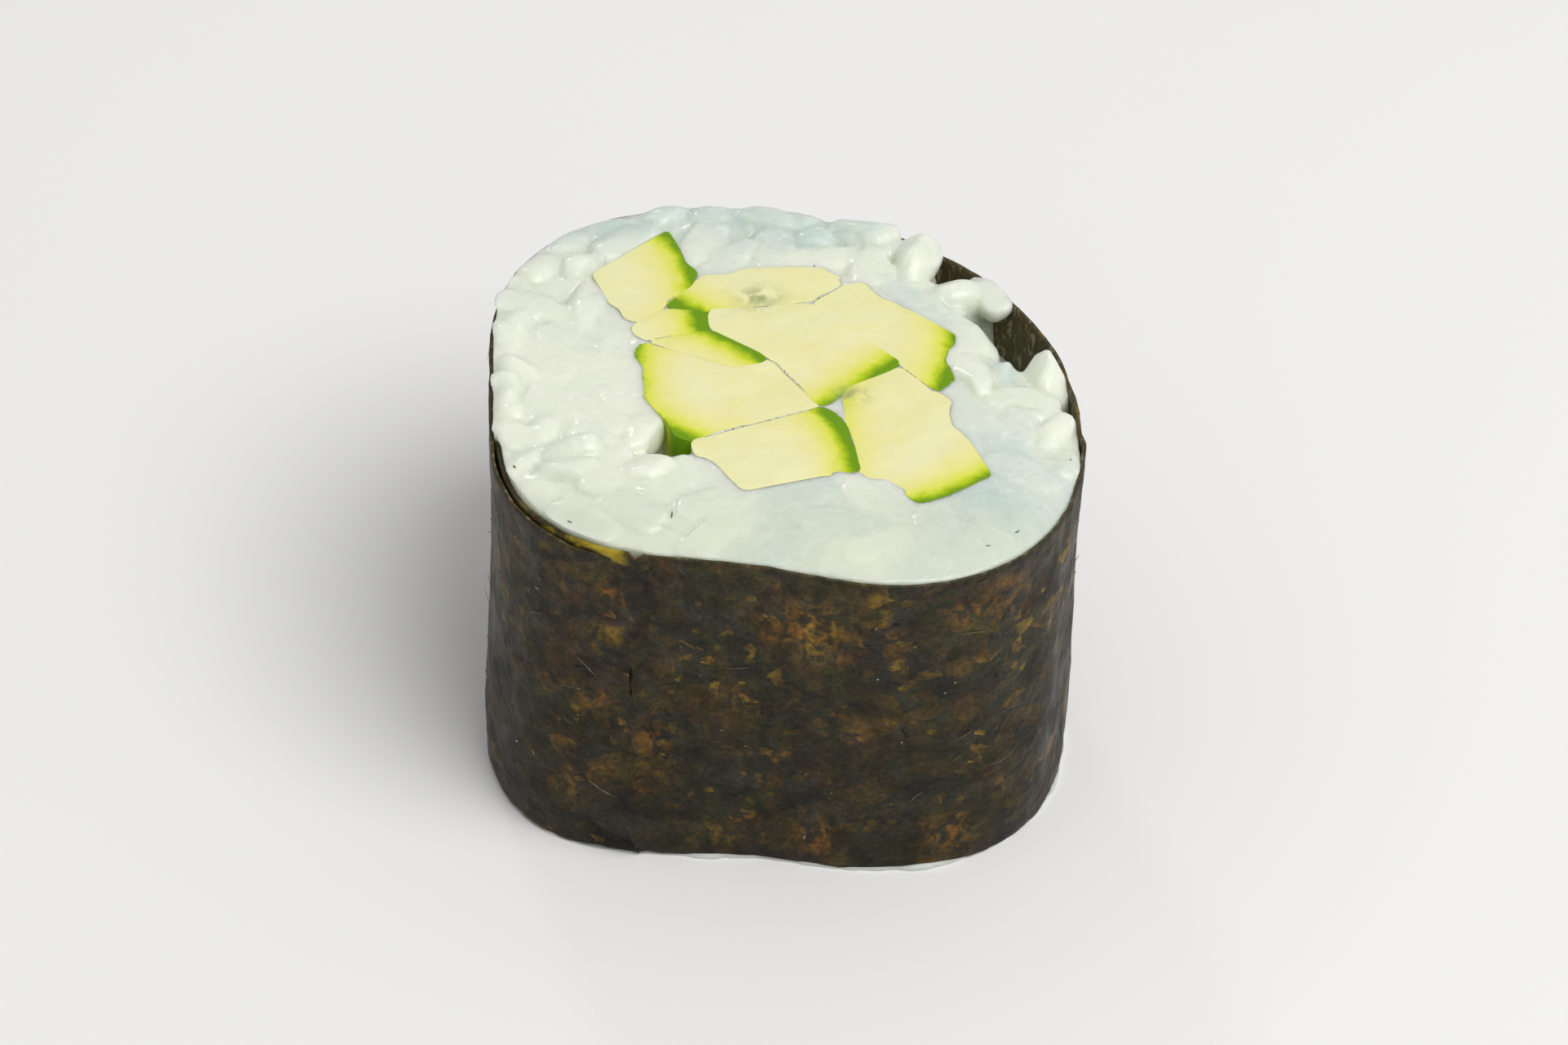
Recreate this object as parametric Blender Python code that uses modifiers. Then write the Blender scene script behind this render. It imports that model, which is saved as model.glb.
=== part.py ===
"""Cucumber maki roll: one cut piece standing on its end, cut face up.

A sheet of nori is rolled once round a core of pressed rice, with its ends
overlapping at the front left, and cucumber batons run through the rice from
one cut face to the other. Metres, +Z up. The origin is the middle of the
footprint, on the surface that the piece stands on.
"""

import math

import bmesh
import bpy
from mathutils import Matrix, Vector, noise

MM = 0.001

# The roll: its mean radius at the rim, its height at the middle, and the slope
# of its cut face along X.
ROLL_RADIUS = 19.7 * MM
ROLL_HEIGHT = 24.4 * MM
FACE_SLOPE = -0.04
# The lobes that make the rounded-square outline of the rim, and those by which
# the outline at the foot differs from it. A lobe is (waves round the turn,
# height in mm, direction of its crest in degrees).
RIM_LOBES = (
    (1, 0.6, 177.0),
    (2, 1.25, -47.0),
    (3, 0.6, -22.5),
    (4, 0.85, 43.0),
    (5, 0.25, 6.5),
)
FOOT_LOBES = ((1, 0.7, -158.0), (2, 0.35, 63.0), (3, 0.45, -31.0))
# Where the middle of the footprint lies from the centre that radii start at.
FOOTPRINT_MIDDLE = (-0.197 * MM, 0.618 * MM)
RIM_FLARE = 0.25 * MM
RIM_FLARE_DEPTH = 8.0 * MM
FOOT_TUCK = 0.3 * MM
FOOT_TUCK_HEIGHT = 1.8 * MM

# The nori sheet, rolled a little more than once round.
NORI_THICKNESS = 0.28 * MM
NORI_LAYER_GAP = 0.12 * MM
NORI_END_TURN = -118.0
NORI_OVERLAP = 45.0
NORI_RAMP = 60.0
NORI_FOOT = 0.3 * MM
NORI_RIM_DROP = 0.3 * MM
NORI_RIM_WAVE = 0.15 * MM
NORI_TURN_STEPS = 126
NORI_LEVELS = 7
NORI_LEVEL_CROWDING = 1.6

# The rice, which keeps a small gap to the nori and to the batons.
CLEARANCE = 0.3 * MM
RICE_RIM_DROP = 0.3 * MM
RICE_CROWN = 0.4 * MM
GRAIN_SIZE = 3.4 * MM
GRAIN_RELIEF = 1.4 * MM
RICE_RINGS = 24
RICE_SPOKES = 90
RICE_SIDE_LEVELS = 5
RICE_BOTTOM_RINGS = 3
# Grains that stand up from the cut face, and hollows where grains fell away:
# (x, y, radius, height) in mm, with a negative height for a hollow.
SWELLS = (
    (7.5, 15.3, 2.6, 1.3),
    (12.2, 10.7, 2.6, 0.9),
    (16.3, 2.6, 1.9, 0.9),
    (17.0, -2.9, 2.4, 0.5),
    (-13.7, 8.0, 2.8, 0.6),
    (-2.4, 17.9, 5.0, 0.7),
    (11.9, 13.6, 2.5, -3.2),
    (16.0, 6.7, 2.4, -3.6),
    (-7.7, -6.9, 2.2, -2.0),
)
DEEPEST_HOLLOW = 3.6 * MM

# The cucumber batons: corners in mm, anticlockwise, with the rind between
# the first two, and how far the top stands above or below the cut face.
CUCUMBER_RADIUS = 14.0 * MM
RIND_STEPS = 6
CORNER_ROUND = 0.35 * MM
CORNER_STEPS = 2
BATONS = {
    "cucumber_back_left": (
        ((-6.5, 10.7), (-8.1, 16.9), (-13.0, 11.5), (-11.8, 8.3), (-9.6, 6.6)),
        0.2,
    ),
    "cucumber_back": (
        ((-8.1, 8.1), (1.2, 9.5), (2.8, 11.7), (2.1, 13.5), (-3.1, 12.9), (-6.4, 10.5)),
        -0.6,
    ),
    "cucumber_sliver": (((-5.2, 5.7), (-5.5, 7.5), (-8.0, 7.3), (-9.6, 5.7), (-9.2, 4.4)), -0.3),
    "cucumber_wedge": (((-1.3, 2.8), (-5.1, 5.5), (-9.2, 4.3), (-3.4, 1.9)), -0.2),
    "cucumber_left": (
        ((-9.1, -1.8), (-5.8, -6.0), (2.1, -2.0), (-1.1, 2.7), (-3.4, 1.8), (-9.4, 4.1)),
        0.3,
    ),
    "cucumber_middle": (
        ((3.6, 0.6), (7.2, 3.0), (1.3, 9.1), (-5.1, 7.9), (-4.8, 5.9), (-0.9, 3.1), (2.2, -1.8)),
        0.1,
    ),
    "cucumber_right": (((9.6, 0.0), (10.8, 6.4), (4.5, 11.7), (1.5, 9.3), (7.2, 3.0)), 0.2),
    "cucumber_front": (((4.6, -8.4), (2.4, -2.0), (-5.8, -6.1), (-2.5, -11.2)), 0.4),
    "cucumber_front_right": (
        ((8.7, -11.8), (13.2, -8.4), (9.7, -0.1), (7.1, 2.7), (3.9, 0.1), (5.0, -8.3)),
        0.5,
    ),
}
# The few grains caught between three batons: corners in mm.
CAUGHT_RICE = ((3.9, -0.1), (2.5, -2.0), (4.3, -3.2))
CAUGHT_RICE_DROP = 0.5 * MM
# Inside this outline, in mm, the batons touch and the main body of rice stays out.
BATON_CORE = ((8.4, 5.3), (-1.4, 11.3), (-7.4, 6.1), (-5.0, -1.3), (-0.4, -6.9), (8.3, -2.6))

# Material colours as linear red, green, blue, and roughness.
MATERIALS = {
    "nori": ((0.022, 0.020, 0.010), 0.42),
    "rice": ((0.74, 0.76, 0.68), 0.45),
    "cucumber": ((0.72, 0.72, 0.34), 0.40),
}


def smooth_step(share):
    """0 below 0, 1 above 1, and an S-shaped rise between them."""
    share = min(1.0, max(0.0, share))
    return share * share * (3.0 - 2.0 * share)


def lobe_sum(lobes, turn):
    """How far a set of lobes moves the outline outwards in this direction."""
    return MM * sum(
        height * math.cos(waves * (turn - math.radians(crest)))
        for waves, height, crest in lobes
    )


def side_radius(turn, height):
    """Radius of the nori's outer face: the rim's outline, which turns into the foot's on
    the way down, a slight flare under the rim, and a small tuck at the foot."""
    down = smooth_step(1.0 - height / ROLL_HEIGHT)
    flare = smooth_step((ROLL_HEIGHT - height) / RIM_FLARE_DEPTH)
    tuck = max(0.0, 1.0 - height / FOOT_TUCK_HEIGHT)
    radius = ROLL_RADIUS + lobe_sum(RIM_LOBES, turn) + lobe_sum(FOOT_LOBES, turn) * down
    return radius - RIM_FLARE * flare - FOOT_TUCK * tuck * tuck


def nori_layer_offset(along):
    """How far inside the outer layer the sheet lies, `along` degrees from its inner end."""
    climb = smooth_step((along - NORI_OVERLAP) / NORI_RAMP)
    return (NORI_THICKNESS + NORI_LAYER_GAP) * (1.0 - climb)


def rice_radius(turn, height):
    """Radius of the rice's side: inside the innermost layer of nori, with the clearance."""
    inner_end = math.radians(NORI_END_TURN - NORI_OVERLAP)
    along = math.degrees((turn - inner_end) % (2.0 * math.pi))
    if along > 360.0 - NORI_RAMP / 2.0:
        climb = smooth_step((360.0 - along) / (NORI_RAMP / 2.0))
        offset = (NORI_THICKNESS + NORI_LAYER_GAP) * (1.0 - climb)
    else:
        offset = nori_layer_offset(along)
    wall = offset + NORI_THICKNESS + CLEARANCE
    return side_radius(turn, height) - wall


def rice_top(x, y, share):
    """Height of the cut face at (x, y): a low crown of grain-sized domes, with the swells."""
    nearest = noise.voronoi(Vector((x, y, 0.0)) / GRAIN_SIZE)[0][0]
    crown = RICE_CROWN * (1.0 - share * share)
    height = ROLL_HEIGHT + FACE_SLOPE * x - RICE_RIM_DROP
    height += crown - GRAIN_RELIEF * nearest * nearest
    for swell_x, swell_y, radius, rise in SWELLS:
        away = math.hypot(x - swell_x * MM, y - swell_y * MM) / (radius * MM)
        height += rise * MM * (1.0 - smooth_step(away))
    return height


def new_collection(name):
    collection = bpy.data.collections.new(name)
    bpy.context.scene.collection.children.link(collection)
    return collection


def new_material(name):
    colour, roughness = MATERIALS[name]
    material = bpy.data.materials.new(name)
    material.use_nodes = True
    shader = material.node_tree.nodes["Principled BSDF"]
    shader.inputs["Base Color"].default_value = (*colour, 1.0)
    shader.inputs["Roughness"].default_value = roughness
    shader.inputs["Metallic"].default_value = 0.0
    return material


def new_object(name, mesh, collection, material=None):
    """An object for the mesh, moved so that the footprint's middle is the origin."""
    middle_x, middle_y = FOOTPRINT_MIDDLE
    mesh.transform(Matrix.Translation((-middle_x, -middle_y, 0.0)))
    if material is not None:
        mesh.materials.append(material)
    made = bpy.data.objects.new(name, mesh)
    collection.objects.link(made)
    return made


def loft(name, rows, closed):
    """A mesh over rows of points, each joined to the next. Closed rows are rings, and a
    row of one point is a pole."""
    shape = bmesh.new()
    rings = [[shape.verts.new(point) for point in row] for row in rows]
    for lower, upper in zip(rings, rings[1:]):
        count = max(len(lower), len(upper))
        for i in range(count if closed else count - 1):
            after = (i + 1) % count
            if len(lower) == 1:
                shape.faces.new((lower[0], upper[after], upper[i]))
            elif len(upper) == 1:
                shape.faces.new((lower[i], lower[after], upper[0]))
            else:
                shape.faces.new((lower[i], lower[after], upper[after], upper[i]))
    mesh = bpy.data.meshes.new(name)
    shape.to_mesh(mesh)
    shape.free()
    return mesh


def make_nori(collection):
    """The sheet as an open surface rolled once and a bit, thickened inwards by Solidify."""
    sweep = 360.0 + NORI_OVERLAP
    inner_end = NORI_END_TURN - NORI_OVERLAP
    rows = []
    for level in range(NORI_LEVELS + 1):
        row = []
        for step in range(NORI_TURN_STEPS + 1):
            along = sweep * step / NORI_TURN_STEPS
            turn = math.radians(inner_end + along)
            wave = NORI_RIM_WAVE * math.sin(5.0 * turn) * math.cos(2.0 * turn)
            slope = FACE_SLOPE * ROLL_RADIUS * math.cos(turn)
            rim = ROLL_HEIGHT + slope - NORI_RIM_DROP + wave
            share = (level / NORI_LEVELS) ** NORI_LEVEL_CROWDING
            height = NORI_FOOT + (rim - NORI_FOOT) * share
            radius = side_radius(turn, height) - nori_layer_offset(along)
            row.append((radius * math.cos(turn), radius * math.sin(turn), height))
        rows.append(row)
    mesh = loft("nori", rows, closed=False)
    nori = new_object("nori", mesh, collection, new_material("nori"))
    wall = nori.modifiers.new("sheet", "SOLIDIFY")
    wall.thickness = NORI_THICKNESS
    wall.offset = -1.0
    wall.use_even_offset = True
    for polygon in mesh.polygons:
        polygon.use_smooth = True
    return nori


def moved_outline(corners, distance):
    """The outline with every side moved outwards by `distance`, its corners mitred."""
    count = len(corners)
    moved = []
    for i in range(count):
        before = Vector(corners[i]) - Vector(corners[i - 1])
        after = Vector(corners[(i + 1) % count]) - Vector(corners[i])
        out_before = Vector((before.y, -before.x)).normalized()
        out_after = Vector((after.y, -after.x)).normalized()
        middle = (out_before + out_after).normalized()
        moved.append(Vector(corners[i]) + middle * (distance / middle.dot(out_after)))
    return moved


def rounded_corner(before, corner, after):
    """Points on a small curve from one side of a corner to the other."""
    back = (before - corner).normalized() * min(CORNER_ROUND, (before - corner).length / 3)
    ahead = (after - corner).normalized() * min(CORNER_ROUND, (after - corner).length / 3)
    points = []
    for step in range(CORNER_STEPS + 1):
        share = step / CORNER_STEPS
        points.append(corner + back * (1 - share) ** 2 + ahead * share**2)
    return points


def rind_arc(start, end):
    """Points between two corners on the round of the cucumber, bulging outwards."""
    side = end - start
    outward = Vector((side.y, -side.x)).normalized()
    rise = side.length**2 / (8.0 * CUCUMBER_RADIUS)
    points = []
    for step in range(1, RIND_STEPS):
        share = step / RIND_STEPS
        points.append(start + side * share + outward * rise * 4.0 * share * (1.0 - share))
    return points


def baton_outline(corners_mm, grow):
    """The baton's section: corners moved by `grow`, rounded, with the arc of the rind."""
    corners = moved_outline([Vector(c) * MM for c in corners_mm], grow)
    count = len(corners)
    outline = []
    for i in range(count):
        curve = rounded_corner(corners[i - 1], corners[i], corners[(i + 1) % count])
        outline += curve
        if i == 0:
            beyond = rounded_corner(corners[0], corners[1], corners[2])
            outline += rind_arc(curve[-1], beyond[0])
    return outline


def prism(name, outline, bottom, top, slope=0.0):
    """A straight prism between two heights, made by extruding its flat outline. Its top
    may slope along X."""
    shape = bmesh.new()
    face = shape.faces.new([shape.verts.new((p.x, p.y, bottom)) for p in outline])
    made = bmesh.ops.extrude_face_region(shape, geom=[face])
    lifted = [item for item in made["geom"] if isinstance(item, bmesh.types.BMVert)]
    for vert in lifted:
        vert.co.z = top + slope * vert.co.x
    bmesh.ops.recalc_face_normals(shape, faces=shape.faces)
    mesh = bpy.data.meshes.new(name)
    shape.to_mesh(mesh)
    shape.free()
    return mesh


def make_batons(collection):
    """One straight baton for each outline, half a clearance inside its own corners."""
    material = new_material("cucumber")
    for name, (corners, rise) in BATONS.items():
        outline = baton_outline(corners, -CLEARANCE / 2.0)
        mesh = prism(name, outline, 0.0, ROLL_HEIGHT + rise * MM, FACE_SLOPE)
        new_object(name, mesh, collection, material)


def make_cutters(collection):
    """The room that the batons take out of the rice, and the room between them."""
    outlines = {
        "cut_" + name: baton_outline(corners, CLEARANCE / 2.0)
        for name, (corners, _) in BATONS.items()
    }
    outlines["cut_core"] = [Vector(corner) * MM for corner in BATON_CORE]
    for name, outline in outlines.items():
        mesh = prism(name, outline, -0.5 * ROLL_HEIGHT, 1.5 * ROLL_HEIGHT)
        cutter = new_object(name, mesh, collection)
        cutter.hide_render = True
        cutter.display_type = "WIRE"


def rice_ring(share, height):
    """One ring of the rice at a fixed height, or its pole where the share is 0."""
    if share == 0:
        return [(0.0, 0.0, height)]
    ring = []
    for spoke in range(RICE_SPOKES):
        turn = 2.0 * math.pi * spoke / RICE_SPOKES
        radius = share * rice_radius(turn, height)
        ring.append((radius * math.cos(turn), radius * math.sin(turn), height))
    return ring


def rice_top_ring(share):
    """One ring of the uneven cut face."""
    if share == 0:
        return [(0.0, 0.0, rice_top(0.0, 0.0, 0.0))]
    ring = []
    for spoke in range(RICE_SPOKES):
        turn = 2.0 * math.pi * spoke / RICE_SPOKES
        radius = share * rice_radius(turn, ROLL_HEIGHT)
        x, y = radius * math.cos(turn), radius * math.sin(turn)
        ring.append((x, y, rice_top(x, y, share)))
    return ring


def make_caught_rice(collection, material):
    """The grains between three batons, which no other rice touches."""
    corners = moved_outline([Vector(corner) * MM for corner in CAUGHT_RICE], -CLEARANCE / 2.0)
    mesh = prism("rice_caught", corners, 0.0, ROLL_HEIGHT - CAUGHT_RICE_DROP, FACE_SLOPE)
    new_object("rice_caught", mesh, collection, material)


def make_rice(collection, cutters, material):
    """The pressed rice as one body, with the batons' room cut through it."""
    rows = [rice_ring(i / RICE_BOTTOM_RINGS, 0.0) for i in range(RICE_BOTTOM_RINGS + 1)]
    side_top = ROLL_HEIGHT - RICE_RIM_DROP - GRAIN_RELIEF - DEEPEST_HOLLOW
    rows += [
        rice_ring(1.0, side_top * level / RICE_SIDE_LEVELS)
        for level in range(1, RICE_SIDE_LEVELS + 1)
    ]
    rows += [rice_top_ring(1.0 - i / RICE_RINGS) for i in range(RICE_RINGS + 1)]
    mesh = loft("rice", rows, closed=True)
    rice = new_object("rice", mesh, collection, material)
    for polygon in mesh.polygons:
        polygon.use_smooth = True
    cut = rice.modifiers.new("batons", "BOOLEAN")
    cut.operation = "DIFFERENCE"
    cut.solver = "EXACT"
    cut.use_self = True
    cut.operand_type = "COLLECTION"
    cut.collection = cutters


def main():
    for old in list(bpy.data.objects):
        bpy.data.objects.remove(old, do_unlink=True)
    parts = new_collection("cucumber_maki_roll")
    helpers = new_collection("cutters")
    make_nori(parts)
    make_batons(parts)
    make_cutters(helpers)
    rice_material = new_material("rice")
    make_caught_rice(parts, rice_material)
    make_rice(parts, helpers, rice_material)


main()
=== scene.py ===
"""Looks of one cut piece of cucumber maki: the pressed rice grain by grain, the nori
sheet rolled round it, the cucumber batons, and the stage.

Laid out as an add-on and run as a script. Metres, +Z up, in the frame's own axes.
"""

from types import SimpleNamespace

import bpy
import numpy as np
from bpy.props import FloatProperty, FloatVectorProperty, IntProperty, PointerProperty
from bpy.types import Operator, Panel, PropertyGroup
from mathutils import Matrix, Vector
from mathutils.bvhtree import BVHTree


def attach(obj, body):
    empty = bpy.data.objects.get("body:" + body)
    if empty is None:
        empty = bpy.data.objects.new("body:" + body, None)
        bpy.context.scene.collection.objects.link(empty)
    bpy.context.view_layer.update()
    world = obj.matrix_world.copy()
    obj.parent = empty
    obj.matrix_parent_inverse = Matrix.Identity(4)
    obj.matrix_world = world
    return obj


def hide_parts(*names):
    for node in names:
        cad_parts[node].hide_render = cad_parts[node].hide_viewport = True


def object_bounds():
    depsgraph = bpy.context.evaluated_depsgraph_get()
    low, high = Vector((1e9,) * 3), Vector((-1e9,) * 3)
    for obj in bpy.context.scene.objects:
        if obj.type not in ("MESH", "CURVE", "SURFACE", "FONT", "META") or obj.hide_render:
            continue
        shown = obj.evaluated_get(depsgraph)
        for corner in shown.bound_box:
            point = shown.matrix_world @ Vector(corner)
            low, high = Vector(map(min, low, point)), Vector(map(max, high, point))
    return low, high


bl_info = {
    "name": "Cucumber maki roll",
    "version": (1, 0, 0),
    "blender": (4, 5, 0),
    "location": "3D View > Sidebar > Maki",
    "description": "Makes the rice, nori and cucumber of a cut piece of maki round its frame",
    "category": "Object",
}

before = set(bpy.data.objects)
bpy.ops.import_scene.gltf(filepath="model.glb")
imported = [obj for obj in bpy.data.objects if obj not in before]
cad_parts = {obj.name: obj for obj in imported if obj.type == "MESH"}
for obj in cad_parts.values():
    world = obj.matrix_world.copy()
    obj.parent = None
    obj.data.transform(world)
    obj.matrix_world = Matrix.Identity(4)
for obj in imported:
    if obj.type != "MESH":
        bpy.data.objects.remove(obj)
CAD_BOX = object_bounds()

MM = 0.001
FULL_TURN = 2.0 * np.pi
BODY = "root"
BATON_NODES = sorted(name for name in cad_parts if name.startswith("cucumber"))

# Measuring the frame: points on a baton's outline, levels and directions in the tables of
# the nori's walls, a distance outside everything, and the height at which the sheet ends.
OUTLINE_STEPS = 160
WALL_LEVELS = 9
RIM_BINS = 90
OUTER_SPOKES, INNER_SPOKES = 161, 145
FAR_OUT = 0.1
SHEET_FOOT = 0.3 * MM

# Batons: gaps that close, gaps that only narrow, growth on a free side, how far batons that
# touch run into each other, the step in height from one to the next, the rings up a side,
# round the edge and over the top, and how far the top is domed and swells.
WIDEST_CLOSED_GAP = 1.35 * MM
WIDEST_NARROWED_GAP = 2.6 * MM
USUAL_GROWTH = 0.10 * MM
NEIGHBOUR_LAP = 0.07 * MM
BATON_STEP = 0.03 * MM
BATON_LEVELS, EDGE_STEPS, TOP_RINGS = 14, 6, 26
BATON_DOME = 0.06 * MM
BATON_SWELL = 0.07 * MM

# The rice's slope down to the rim: how far it stays above the rim, and the slope's width.
RIM_COVER = 0.12 * MM
RIM_SLOPE = 4.5 * MM
# The direction in which the rice bulges out most over the rim, in radians.
BULGE_TURN = 2.45

# Packing the grains: how many, how closely two grains, a grain and a baton, and a grain and
# the nori press on each other as shares of the grain's radius, and how high grains may lie
# against the cut face where it is flush and where grains are whole.
GRAIN_TRIES = 6000
LOOSE_GRAINS = 180
RIM_GRAINS = 17
PRESSED, PRESSED_ON_BATON, PRESSED_ON_NORI = 0.87, 0.88, 0.62
PACKING_STEPS = 70
LAID_FLAT = 0.10
FLUSH_CEILING = 0.1 * MM
WHOLE_CEILING = -1.05 * MM

# One grain's form: its mesh, how dented it is, and how many flats its neighbours press on
# its sides, with how far from its middle the flats lie, as shares of its half size.
GRAIN_STATIONS, GRAIN_SIDES = 13, 16
DENTS = 0.10
SIDE_FLATS = 5
SIDE_FLAT_SHARE = (0.70, 0.95)
END_FLAT_SHARE = (0.76, 0.95)
# The knife's path: its depth below the face, and how it differs from grain to grain.
PATH_DEPTH = 0.04 * MM
PATH_SCATTER = 0.035 * MM
PATH_LEAN = 0.018

# The meshes of the core and the body of the rice, and the depth of the dents between grains
# on the sliced parts.
CORE_SPOKES, CORE_RINGS = 240, 60
BODY_SPOKES = 360
SEAM_DEPTH = 0.07 * MM

# The nori: its mesh, its height, the directions of the corner with upright streaks and of
# the lowest part of the rim, how far the rim sinks at the outer end, how far that end is
# pressed in, and how many threads lie on the sheet.
SHEET_ROWS = 560
OUTSIDE_STEPS, INSIDE_STEPS = 72, 36
SHEET_HEIGHT = 24.0 * MM
STREAKED_CORNER = np.radians(-22.0)
LOW_RIM_TURN = np.radians(150.0)
FLAP_DROP = 0.50 * MM
PRESSED_END = 0.35 * MM
THREADS = 150

# The stage: the floor, and the lights as (name, place from the middle of the piece,
# diameter, power).
FLOOR_SIZE, FLOOR_STEPS = 4.0, 9
LIGHTS = (
    ("overhead", (0.32, -0.28, 0.68), 0.60, 4.753),
    ("back", (-0.16, 0.50, 0.40), 0.08, 0.2134),
)


# ---------------------------------------------------------------- numbers and noise


def smooth_step(low, high, value):
    """0 below low, 1 above high, and an S-shaped rise between them."""
    share = np.clip((value - low) / (high - low), 0.0, 1.0)
    return share * share * (3.0 - 2.0 * share)


def lattice_noise(points, size, seed):
    """Smooth noise from -1 to 1: a random value at each point of a lattice with steps of
    `size`, blended along an S-curve between the eight nearest."""
    points = np.asarray(points, float)
    place = points.reshape(-1, 3) / size
    base = np.floor(place)
    part = place - base
    part = part * part * (3.0 - 2.0 * part)
    base = base.astype(np.int64)
    total = np.zeros(len(place))
    for corner in np.ndindex(2, 2, 2):
        key = (base + corner) @ np.array([73856093, 19349663, 83492791]) + seed * 668265263
        key = ((key ^ (key >> 13)) & 0xFFFFFFFF) * 1274126177
        key = (key ^ (key >> 16)) & 0xFFFF
        weight = np.prod(np.where(corner, part, 1.0 - part), axis=1)
        total += weight * (key / 32767.5 - 1.0)
    return total.reshape(points.shape[:-1])


def layered_noise(points, size, seed, layers):
    """Lattice noise, plus the same at half the size and half the strength, and so on."""
    total = np.zeros(np.shape(points)[:-1])
    for layer in range(layers):
        total += lattice_noise(points, size / 2**layer, seed + layer) / 2**layer
    return total


def flat_points(x, y):
    """Points of the ground plane."""
    return np.stack([x, y, np.zeros_like(x)], axis=-1)


def points_around(radius, turn, height):
    """Points at this distance from the axis, in this direction and at this height."""
    places = np.broadcast_arrays(radius * np.cos(turn), radius * np.sin(turn), height)
    return np.stack(places, axis=-1)


# ---------------------------------------------------------------- meshes


def mesh_from(name, points, *face_sets):
    """A smooth mesh from an array of points and arrays of faces, each with one size."""
    corners = np.concatenate([faces.ravel() for faces in face_sets])
    sizes = np.concatenate([np.full(len(faces), faces.shape[1]) for faces in face_sets])
    starts = np.concatenate([[0], np.cumsum(sizes)[:-1]])
    mesh = bpy.data.meshes.new(name)
    mesh.vertices.add(len(points))
    mesh.vertices.foreach_set("co", np.asarray(points, np.float32).ravel())
    mesh.loops.add(len(corners))
    mesh.loops.foreach_set("vertex_index", corners.astype(np.int32))
    mesh.polygons.add(len(sizes))
    mesh.polygons.foreach_set("loop_start", starts.astype(np.int32))
    mesh.update(calc_edges=True)
    mesh.shade_smooth()
    return mesh


def grid_quads(rows, columns, wrapped):
    """Faces over a grid stored row by row. They face outwards where rows go up and
    columns go anticlockwise. The last column joins the first if wrapped."""
    row = np.arange(rows - 1)[:, None] * columns
    column = np.arange(columns if wrapped else columns - 1)[None, :]
    after = (column + 1) % columns
    quads = np.stack(
        [row + column, row + after, row + columns + after, row + columns + column], axis=-1
    )
    return quads.reshape(-1, 4)


def shell_faces(rows, columns):
    """Quads and pole triangles of a closed shell: its rings from the bottom up, then its
    low pole and its high pole."""
    column = np.arange(columns)
    after = (column + 1) % columns
    top = (rows - 1) * columns
    low = np.stack([after, column, np.full(columns, rows * columns)], axis=-1)
    high = np.stack([top + column, top + after, np.full(columns, rows * columns + 1)], axis=-1)
    return grid_quads(rows, columns, True), np.vstack([low, high])


def closed_shell(name, rings, low_pole, high_pole):
    """A closed mesh over rings of points from the bottom up, with a pole at each end."""
    points = np.vstack([rings.reshape(-1, 3), [low_pole], [high_pole]])
    return mesh_from(name, points, *shell_faces(*rings.shape[:2]))


def many_shells(count, rows, columns):
    """Quads and pole triangles of many like shells, stored one after the other."""
    shift = np.arange(count)[:, None, None] * (rows * columns + 2)
    quads, fans = shell_faces(rows, columns)
    return (quads + shift).reshape(-1, 4), (fans + shift).reshape(-1, 3)


def mesh_points(mesh):
    """The places of a mesh's points, as rows of three."""
    points = np.empty(len(mesh.vertices) * 3, np.float32)
    mesh.vertices.foreach_get("co", points)
    return points.reshape(-1, 3).astype(float)


def move_points(mesh, points):
    """Puts a mesh's points in these places."""
    mesh.vertices.foreach_set("co", points.astype(np.float32).ravel())
    mesh.update()


def set_attribute(mesh, name, values):
    """One number for each point of the mesh, for its material to read."""
    attribute = mesh.attributes.new(name, "FLOAT", "POINT")
    attribute.data.foreach_set("value", np.asarray(values, np.float32))


def add_object(name, data):
    """A new object in the scene, with this mesh, light or camera."""
    made = bpy.data.objects.new(name, data)
    bpy.context.scene.collection.objects.link(made)
    return made


def finished_mesh(source, name):
    """The mesh of an object with its modifiers applied. The object is removed."""
    depsgraph = bpy.context.evaluated_depsgraph_get()
    mesh = bpy.data.meshes.new_from_object(source.evaluated_get(depsgraph))
    mesh.name = name
    bpy.data.objects.remove(source, do_unlink=True)
    return mesh


def place_piece(name, mesh, material, nodes=()):
    """Puts a finished piece in the scene, riding on the body and standing for its nodes."""
    mesh.materials.clear()
    mesh.materials.append(material)
    piece = add_object(name, mesh)
    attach(piece, BODY)
    if nodes:
        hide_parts(*nodes)
    return piece


# ---------------------------------------------------------------- what the frame gives


def baton_outline(name):
    """The baton's outline, anticlockwise: the corners of its top, in order round their
    middle, as equal steps."""
    points = mesh_points(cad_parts[name].data)
    top = points[points[:, 2] > 0.5 * points[:, 2].max()][:, :2]
    top = np.unique(np.round(top, 6), axis=0)
    around = top - top.mean(axis=0)
    loop = top[np.argsort(np.arctan2(around[:, 1], around[:, 0]))]
    loop = np.vstack([loop, loop[:1]])
    length = np.concatenate([[0], np.cumsum(np.linalg.norm(np.diff(loop, axis=0), axis=1))])
    steps = np.linspace(0.0, length[-1], OUTLINE_STEPS, endpoint=False)
    return np.stack([np.interp(steps, length, loop[:, i]) for i in (0, 1)], axis=-1)


def outline_normals(outline):
    """Directions that point out of an anticlockwise outline, one for each point."""
    along = np.roll(outline, -1, axis=0) - np.roll(outline, 1, axis=0)
    out = np.stack([along[:, 1], -along[:, 0]], axis=-1)
    return out / np.linalg.norm(out, axis=1, keepdims=True)


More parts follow.
